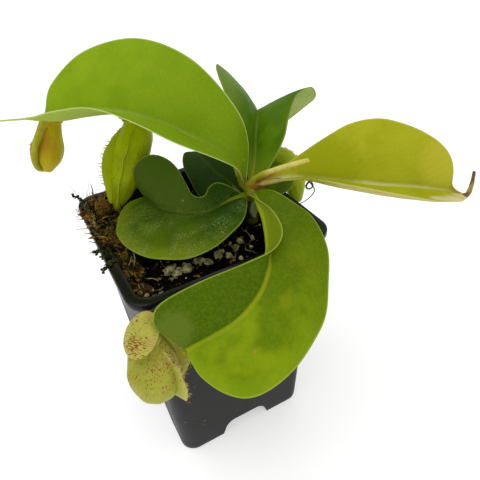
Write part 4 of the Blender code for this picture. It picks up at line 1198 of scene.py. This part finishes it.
def medium_height(x, y):
    lumps = sum(noise.noise(Vector((x * pitch, y * pitch, seed))) * size for pitch, seed, size in SOIL_LUMPS)
    crown = CROWN_RISE * math.exp(-((x - STEM_X) ** 2 + (y - STEM_Y) ** 2) / CROWN_SPREAD)
    level = min(1.0, max(0.0, (x + MOSS_EDGE - moss_reach(y) - 3.0) / 6.0))
    return SOIL_EDGE - 0.6 + (0.6 + lumps) * level + crown


def rounded_in(x, y, half, radius):
    """Pull a point of a square in to the same square with round corners."""
    inner = half - radius
    over = Vector((max(0.0, abs(x) - inner), max(0.0, abs(y) - inner)))
    if over.length > radius:
        over = over * (radius / over.length)
    return (math.copysign(min(abs(x), inner) + over.x, x), math.copysign(min(abs(y), inner) + over.y, y))


def make_medium(material):
    edge_half = wall_half(SOIL_EDGE) - WALL - FIT
    corner = wall_corner(SOIL_EDGE) - 1.0
    lines = np.linspace(-edge_half, edge_half, SOIL_CELLS + 1)
    flat = [[rounded_in(x, y, edge_half, corner) for x in lines] for y in lines]
    bm = bmesh.new()
    skin(bm, np.array([[(x, y, medium_height(x, y)) for x, y in row] for row in flat]))
    bmesh.ops.remove_doubles(bm, verts=bm.verts[:], dist=0.01)
    for z in (SOIL_EDGE - 3.0, 60.0, FLOOR_TOP + FIT):
        border = open_edges(bm)
        before = wall_half(max(vert.co.z for edge in border for vert in edge.verts)) - WALL - FIT
        shrink = (wall_half(z) - WALL - FIT) / before
        for vert in grown(bmesh.ops.extrude_edge_only(bm, edges=border)):
            vert.co = (vert.co.x * shrink, vert.co.y * shrink, z)
    bmesh.ops.holes_fill(bm, edges=open_edges(bm))
    finished(bm, "medium_block", material, "growing_medium", 50.0)


print("moss reaches in", round(moss_reach(38.0), 1), "mm at the back")


# %% Lumps and threads
STREWN_HALF = 38.3


def lump(bm, place, size, draw, flat=1.0, long=1.0, rough=0.45, detail=1):
    """One uneven grain: a small ball, squashed, turned at random and roughened."""
    turn = Matrix.Rotation(draw.uniform(0, 6.3), 4, "Z") @ Matrix.Rotation(draw.uniform(-0.6, 0.6), 4, "X")
    shape = Matrix.Diagonal((size * long, size, size * flat, 1.0))
    made = bmesh.ops.create_icosphere(bm, subdivisions=detail, radius=1.0)["verts"]
    seed = Vector((draw.uniform(0, 50), draw.uniform(0, 50), 0.0))
    for vert in made:
        vert.co *= 1.0 + rough * noise.noise(vert.co * 1.4 + seed)
    bmesh.ops.transform(bm, matrix=Matrix.Translation(place) @ turn @ shape, verts=made)


def off_moss(x, y):
    return x + MOSS_EDGE > moss_reach(y) + 1.0 and math.hypot(x - STEM_X, y - STEM_Y) > 4.5


def scatter(count, draw, size, lift, **shape):
    """A bmesh of lumps strewn over the medium, clear of the moss and the stem."""
    bm = bmesh.new()
    strewn = 0
    while strewn < count:
        x, y = draw.uniform(-STREWN_HALF, STREWN_HALF), draw.uniform(-STREWN_HALF, STREWN_HALF)
        if off_moss(x, y):
            grain = draw.uniform(*size)
            lump(bm, (x, y, medium_height(x, y) + lift * grain), grain, draw, **shape)
            strewn += 1
    return bm


def curl(foot, heading, length, draw, steps=7, wander=0.5, sag=0.0):
    """Points of a thread that starts along heading and wanders as it grows."""
    point, way = Vector(foot), Vector(heading).normalized()
    points = [point.copy()]
    for _ in range(steps):
        stray = Vector([draw.uniform(-wander, wander) for _ in range(3)])
        way = (way + stray - Vector((0, 0, sag))).normalized()
        point = point + way * length / steps
        points.append(point.copy())
    return points


print("lumps and threads are ready")

# %% What lies on the medium
BIG_PERLITE = (
    (-21.5, -20.0, 2.5), (-18.6, -22.6, 2.2), (-16.0, -24.2, 2.3), (-14.6, -22.2, 1.6), (-9.0, -21.5, 1.9),
    (-5.5, -24.0, 1.7), (0.5, -21.8, 2.0), (4.0, -24.5, 1.6), (-29.5, -32.0, 1.7), (-25.5, -34.0, 1.5),
    (-33.0, -27.5, 1.5), (8.5, -22.0, 1.8), (12.5, -19.0, 1.5))
TAN_GRAINS = (
    (-36.5, -33.5, 1.3), (-34.0, -36.0, 1.5), (-31.5, -35.5, 1.2), (-29.0, -36.8, 1.6), (-35.5, -30.5, 1.1),
    (-26.5, -35.8, 1.3), (-24.0, -36.5, 1.1), (-32.5, -32.5, 1.0), (-37.2, -28.0, 1.2))
PEAT_CRUMBS = 1500
SMALL_PERLITE = 52
BARK_BITS = 64
SMALL_GRAINS = 26
ROOTS = 60
ROOT_BOUND = 38


def earthy(name, dark, light, scale, roughness=0.85):
    paint = Paint(name, dark, roughness, 0.06)
    paint.tint(paint.patches(scale, 4.0, 0.38, 0.66), light)
    return paint.finish(paint.noise(scale * 5.0, 4.0), 0.3, 0.8)


def fine_roots(draw):
    """Threads that wander over the medium and stay on top of it."""
    threads = []
    while len(threads) < ROOTS:
        x, y = draw.uniform(-36, 36), draw.uniform(-37, 36)
        if off_moss(x, y):
            heading = (draw.uniform(-1, 1), draw.uniform(-1, 1), draw.uniform(-0.1, 0.35))
            path = curl((x, y, medium_height(x, y) + 0.4), heading, draw.uniform(4, 12), draw, sag=0.05)
            for spot in path:
                inside = [min(ROOT_BOUND, max(-ROOT_BOUND, value)) for value in spot.xy]
                spot.z = max(spot.z, medium_height(*inside) + 0.1)
            threads.append((path, taper(len(path), draw.uniform(0.12, 0.28), 0.08)))
    return tubes(threads)


peat = earthy("peat", (0.0008, 0.0005, 0.0003), (0.006, 0.0036, 0.0014), 260.0)
perlite_skin = earthy("perlite_grey", (0.22, 0.21, 0.075), (0.68, 0.65, 0.33), 420.0, 0.7)
bark_skin = earthy("bark_brown", (0.022, 0.011, 0.003), (0.24, 0.14, 0.035), 300.0)
grain_skin = earthy("grain_tan", (0.10, 0.060, 0.016), (0.42, 0.29, 0.10), 330.0)
root_skin = earthy("root_tan", (0.10, 0.075, 0.025), (0.58, 0.47, 0.23), 160.0)

make_medium(peat)
draw = random.Random(7)
finished(scatter(PEAT_CRUMBS, draw, (0.35, 1.25), 0.15), "peat_crumbs", peat)
perlite = scatter(SMALL_PERLITE, draw, (0.35, 1.2), 0.2, rough=0.9)
for x, y, size in BIG_PERLITE:
    spot = (x, y, medium_height(x, y) + 0.35 * size)
    lump(perlite, spot, size, draw, flat=0.65, long=1.2, rough=0.9, detail=2)
finished(perlite, "perlite", perlite_skin, sharp=35.0)
bark = scatter(BARK_BITS, draw, (0.5, 1.6), 0.15, flat=0.35, long=1.9)
finished(bark, "bark_bits", bark_skin)
grains = scatter(SMALL_GRAINS, draw, (0.4, 0.9), 0.3, flat=0.8, long=1.25, rough=0.4)
for x, y, size in TAN_GRAINS:
    spot = (x, y, SOIL_EDGE + 1.0 + 0.5 * size)
    lump(grains, spot, size, draw, flat=0.8, long=1.25, rough=0.3, detail=2)
finished(grains, "tan_grains", grain_skin)
finished(fine_roots(draw), "fine_roots", root_skin)

# %% [markdown]
# ## The moss
# Dead bog moss, golden brown with olive bits, lies matted along the left wall and
# is heaped over the left corner. Under it is a lumpy mat, one grid extruded down
# to the medium. On it lie hundreds of curled strands, flakes of leaf and dark
# twigs, some of them over the rim, and hair-fine roots stand up at the corner.

# %% Mat, strands and flakes
LIP_SHARE = 0.09
MAT_ACROSS = 26
MAT_ALONG = 70
MOSS_STRANDS = 760
MOSS_FLAKES = 260
MOSS_STRAWS = 70
MOSS_TWIGS = 64


def mat_point(share_along, share_across):
    along = MOSS_START + (MOSS_EDGE - MOSS_START) * share_along
    x = -MOSS_EDGE + moss_reach(along) * share_across
    corner = max(0.0, 5.0 - (x + MOSS_EDGE)) * max(0.0, along - MOSS_EDGE + 5.0) * 0.055
    x, y = x + corner, along - corner
    swell = math.sin(math.pi * min(1.0, 0.22 + 0.78 * share_across)) ** 0.7
    heap = math.exp(-((x + MOSS_EDGE) ** 2 + (y - MOSS_EDGE) ** 2) / 130.0)
    bank = math.exp(-(x + MOSS_EDGE) / 2.5) * smooth_share(y, -25.0, 10.0)
    depth = 0.9 + 1.3 * swell + 8.0 * heap + 4.0 * bank
    broad, fine = noise.noise(Vector((x * 0.3, y * 0.3, 1.0))), noise.noise(Vector((x, y, 4.0)))
    depth += (1.4 * broad + 0.9 * fine) * swell
    return x, y, SOIL_EDGE - 0.15 + max(0.5, depth)


def make_mat(material):
    bm = bmesh.new()
    skin(bm, np.array([[mat_point(i / MAT_ALONG, j / MAT_ACROSS) for j in range(MAT_ACROSS + 1)]
                       for i in range(MAT_ALONG + 1)]))
    for vert in grown(bmesh.ops.extrude_face_region(bm, geom=bm.faces[:])):
        vert.co.z = SOIL_EDGE - 0.4
    finished(bm, "moss_mat", material, "moss", 50.0)


def moss_spot(draw):
    """A random place on the mat, oftener near its outer edge and the corner."""
    if draw.random() < LIP_SHARE:
        return Vector((-POT_TOP_HALF - draw.uniform(0.0, 2.0), draw.uniform(-4.0, 34.0), POT_HEIGHT + 0.3))
    return Vector(mat_point(draw.uniform(0.0, 1.0) ** 0.5, draw.uniform(0.0, 1.0) ** 1.2))


def strands(count, heading, length, thick, thin, sides, drop=0.0, **shape):
    """Curled threads out of the moss. Heading, length and thickness are (low, high) pairs."""
    threads = []
    for _ in range(count):
        spot = moss_spot(draw) - Vector((0, 0, drop))
        way = [draw.uniform(*span) for span in heading]
        path = curl(spot, way, draw.uniform(*length), draw, **shape)
        threads.append((path, taper(len(path), draw.uniform(*thick), thin)))
    return tubes(threads, sides)


def moss_paint():
    paint = Paint("bog_moss", (0.008, 0.005, 0.002), 0.85, 0.15)
    paint.tint(paint.patches(170.0, 2.0, 0.42, 0.58), (0.36, 0.18, 0.03))
    paint.tint(paint.patches(120.0, 2.0, 0.52, 0.64), (0.15, 0.15, 0.012))
    paint.tint(paint.patches(420.0, 2.0, 0.60, 0.70), (0.42, 0.32, 0.12))
    paint.tint(paint.rise(22.0, -6.0, "Y"), (0.010, 0.007, 0.003), 0.9)
    return paint.finish(paint.noise(1200.0, 4.0), 0.3, 0.8)


def flake_paint():
    paint = Paint("leaf_flake", (0.030, 0.011, 0.004), 0.8, 0.06)
    paint.tint(paint.patches(330.0, 1.0, 0.42, 0.6), (0.30, 0.155, 0.032))
    paint.tint(paint.patches(240.0, 1.0, 0.55, 0.63), (0.11, 0.115, 0.014))
    paint.tint(paint.patches(290.0, 1.0, 0.36, 0.30), (0.16, 0.055, 0.020))
    return paint.finish(paint.noise(1300.0, 4.0), 0.3, 0.8)


moss_skin = moss_paint()
twig_skin = earthy("dark_twig", (0.008, 0.007, 0.004), (0.035, 0.028, 0.012), 300.0)
sprig_skin = earthy("old_sprig", (0.012, 0.016, 0.004), (0.05, 0.055, 0.012), 260.0)
make_mat(moss_skin)

draw = random.Random(21)
curled = strands(MOSS_STRANDS, ((-1.0, 0.8), (-1, 1), (0.0, 0.9)), (2.2, 7.0), (0.2, 0.42), 0.12, 4,
                 drop=0.4, steps=6, sag=0.12)
finished(curled, "moss_strands", moss_skin)

flakes = bmesh.new()
for _ in range(MOSS_FLAKES):
    spot = moss_spot(draw) + Vector((draw.uniform(-1.0, 0.5), 0, draw.uniform(0.0, 0.8)))
    size = draw.uniform(0.5, 1.0 + 2.4 * draw.random() ** 3)
    lump(flakes, spot, size, draw, flat=0.22, long=1.7, rough=0.8)
finished(flakes, "moss_flakes", flake_paint())

straws = strands(MOSS_STRAWS, ((-1, 0.6), (-1, 1), (0.1, 0.8)), (3.0, 7.0), (0.14, 0.26), 0.08, 4)
finished(straws, "moss_straws", root_skin)
twigs = strands(MOSS_TWIGS, ((-1.0, 0.3), (-0.8, 0.8), (0.1, 1.0)), (4.0, 10.0), (0.25, 0.5), 0.14, 5,
                steps=6, wander=0.3)
finished(twigs, "moss_twigs", twig_skin)

# %% Sprigs over the rim and hair roots
SPRIGS = (((-40.5, -6.0, 117.5), (-43.6, -6.5, 121.2), (-47.4, -4.0, 120.4)),
          ((-39.5, -12.0, 116.5), (-43.0, -14.0, 120.8), (-46.9, -16.5, 119.6)),
          ((-39.0, -9.0, 115.5), (-42.6, -9.5, 120.8), (-44.6, -10.5, 121.0)),
          ((-38.0, 30.0, 119.0), (-42.0, 35.0, 123.5), (-45.5, 40.5, 125.0)))
HAIR_ROOTS = (((-43.3, 38.8, 120.6), (-43.6, 41.9, 124.2), (-44.6, 44.9, 127.0), (-45.6, 46.7, 128.7)),
              ((-38.6, 37.2, 121.5), (-37.7, 39.4, 124.6), (-37.0, 41.0, 126.9), (-35.5, 42.8, 130.0)),
              ((-41.4, 38.1, 120.9), (-39.1, 39.1, 123.5), (-38.2, 40.0, 125.0), (-37.8, 41.1, 126.6)),
              ((-41.0, 37.0, 120.0), (-38.1, 37.0, 122.4), (-35.5, 37.5, 123.9), (-33.7, 38.5, 125.9)),
              ((-44.2, 36.4, 119.6), (-45.6, 37.1, 118.6), (-47.0, 37.5, 117.6), (-47.4, 38.2, 118.7)),
              ((-43.0, 33.0, 119.8), (-45.7, 34.5, 117.0), (-48.3, 34.8, 114.9), (-50.4, 37.0, 115.4)),
              ((-42.5, 28.0, 120.2), (-45.8, 28.6, 119.2), (-48.0, 29.8, 119.8), (-50.0, 31.0, 121.4)))

SPRIG_STEPS = 9
stalks = [curve_through(points, SPRIG_STEPS) for points in SPRIGS]
sprigs = tubes([(stalk, taper(SPRIG_STEPS + 1, 0.75, 0.3)) for stalk in stalks], 6)
for stalk in stalks:
    for spot in stalk[2:]:
        for _ in range(3):
            side = Vector([draw.uniform(-0.8, 0.8) for _ in range(3)])
            lump(sprigs, Vector(spot) + side, draw.uniform(0.45, 0.8), draw, flat=0.35, long=1.7, rough=0.5)
finished(sprigs, "moss_sprigs", sprig_skin)
hairs = [(curve_through(points, 14), taper(15, 0.14, 0.06)) for points in HAIR_ROOTS]
finished(tubes(hairs, 4), "hair_roots", root_skin)

# %% [markdown]
# ## The stem
# A short upright stem carries the leaves. It is ringed where old leaves have
# dropped, greener towards its top, and there the foot of each leaf clasps it:
# a thick sheath that grows out of the stem and thins under the blade's midrib.
# The stem is one tube whose radius swells and narrows, each sheath another.

# %% Stem and the feet of the leaves
STEM_HEIGHTS = (92.0, 100.0, 107.0, 112.0, 112.8, 114.0, 118.0, 121.0, 126.0, 130.0, 132.0, 132.6)
STEM_SWELL = (0.2, 0.3, 0.4, 0.5, 0.6, 0.2, 0.1, 0.0, 0.0, -0.1, -0.5, -1.6)
SHEATH_RUN = (0.0, 4.0, 8.0, 13.0)
CROWN = (27.0, -11.0, 133.0)
SHEATH_STEPS = 26
SHEATH_SWELL = ((0, 0.3, 0.6, 1), (1.6, 2.3, 1.6, 0.5))
FOLD_STEPS = 24


def stem_paint():
    paint = Paint("stem_bark", (0.11, 0.10, 0.006), 0.5, 0.12)
    streaks = paint.patches(330.0, 3.0, 0.4, 0.66)
    paint.tint(streaks, (0.06, 0.045, 0.004))
    paint.tint(paint.rise(115.0, 125.0), paint.blend(streaks, (0.22, 0.25, 0.006), (0.14, 0.16, 0.004)))
    paint.tint(paint.near(CROWN, 6.5), (0.30, 0.14, 0.02))
    return paint.finish(paint.noise(700.0, 3.0), 0.15, 0.6)


def make_stem(material):
    heights = np.linspace(STEM_FOOT, STEM_TOP, 90)
    radii = STEM_RADIUS + np.interp(heights, STEM_HEIGHTS, STEM_SWELL)
    radii += 0.22 * np.exp(-(((heights - 109.0) % 4.6 - 2.3) / 0.35) ** 2)
    path = [(STEM_X, STEM_Y, z) for z in heights]
    finished(tubes([(path, radii)], 32), "stem_rings", material, "stem")


def sheath(spec):
    """A leaf's foot: from inside the stem, round its base and out below the midrib."""
    midrib, left, right = (curve_through(spec[key], 80) for key in ("midrib", "left", "right"))
    below = -unit(np.cross(np.gradient(midrib, axis=0), left - right))
    under = [midrib[k] + below[k] * 0.8 for k in np.searchsorted(run_along(midrib), SHEATH_RUN)]
    foot = np.array((STEM_X, STEM_Y, midrib[0][2] - 5.0))
    bend = np.array((*(foot[:2] * 0.35 + under[0][:2] * 0.65), midrib[0][2] - 1.8))
    radii = np.interp(np.linspace(0, 1, SHEATH_STEPS + 1), *SHEATH_SWELL)
    return curve_through([foot, bend, *under], SHEATH_STEPS), radii


stem_skin = stem_paint()
make_stem(stem_skin)
sheaths = [sheath(spec) for name, spec in LEAVES.items() if name != "leaf_withered"]
finished(tubes(sheaths, 16), "petiole_sheaths", stem_skin)

folds = []
for key, radius in (("right", 1.15), ("left", 0.8)):
    margin = curve_through(LEAVES["leaf_right"][key], 160)[:FOLD_STEPS]
    folds.append((margin, radius * np.sin(np.linspace(0.9, math.pi - 0.25, FOLD_STEPS))))
fold_skin = cord_paint("petiole_fold_skin", (0.56, 0.46, 0.13), (0.46, 0.40, 0.08),
                       foot=(CROWN, 4.5, (0.36, 0.17, 0.03)))
finished(tubes(folds, 12), "petiole_folds", fold_skin)
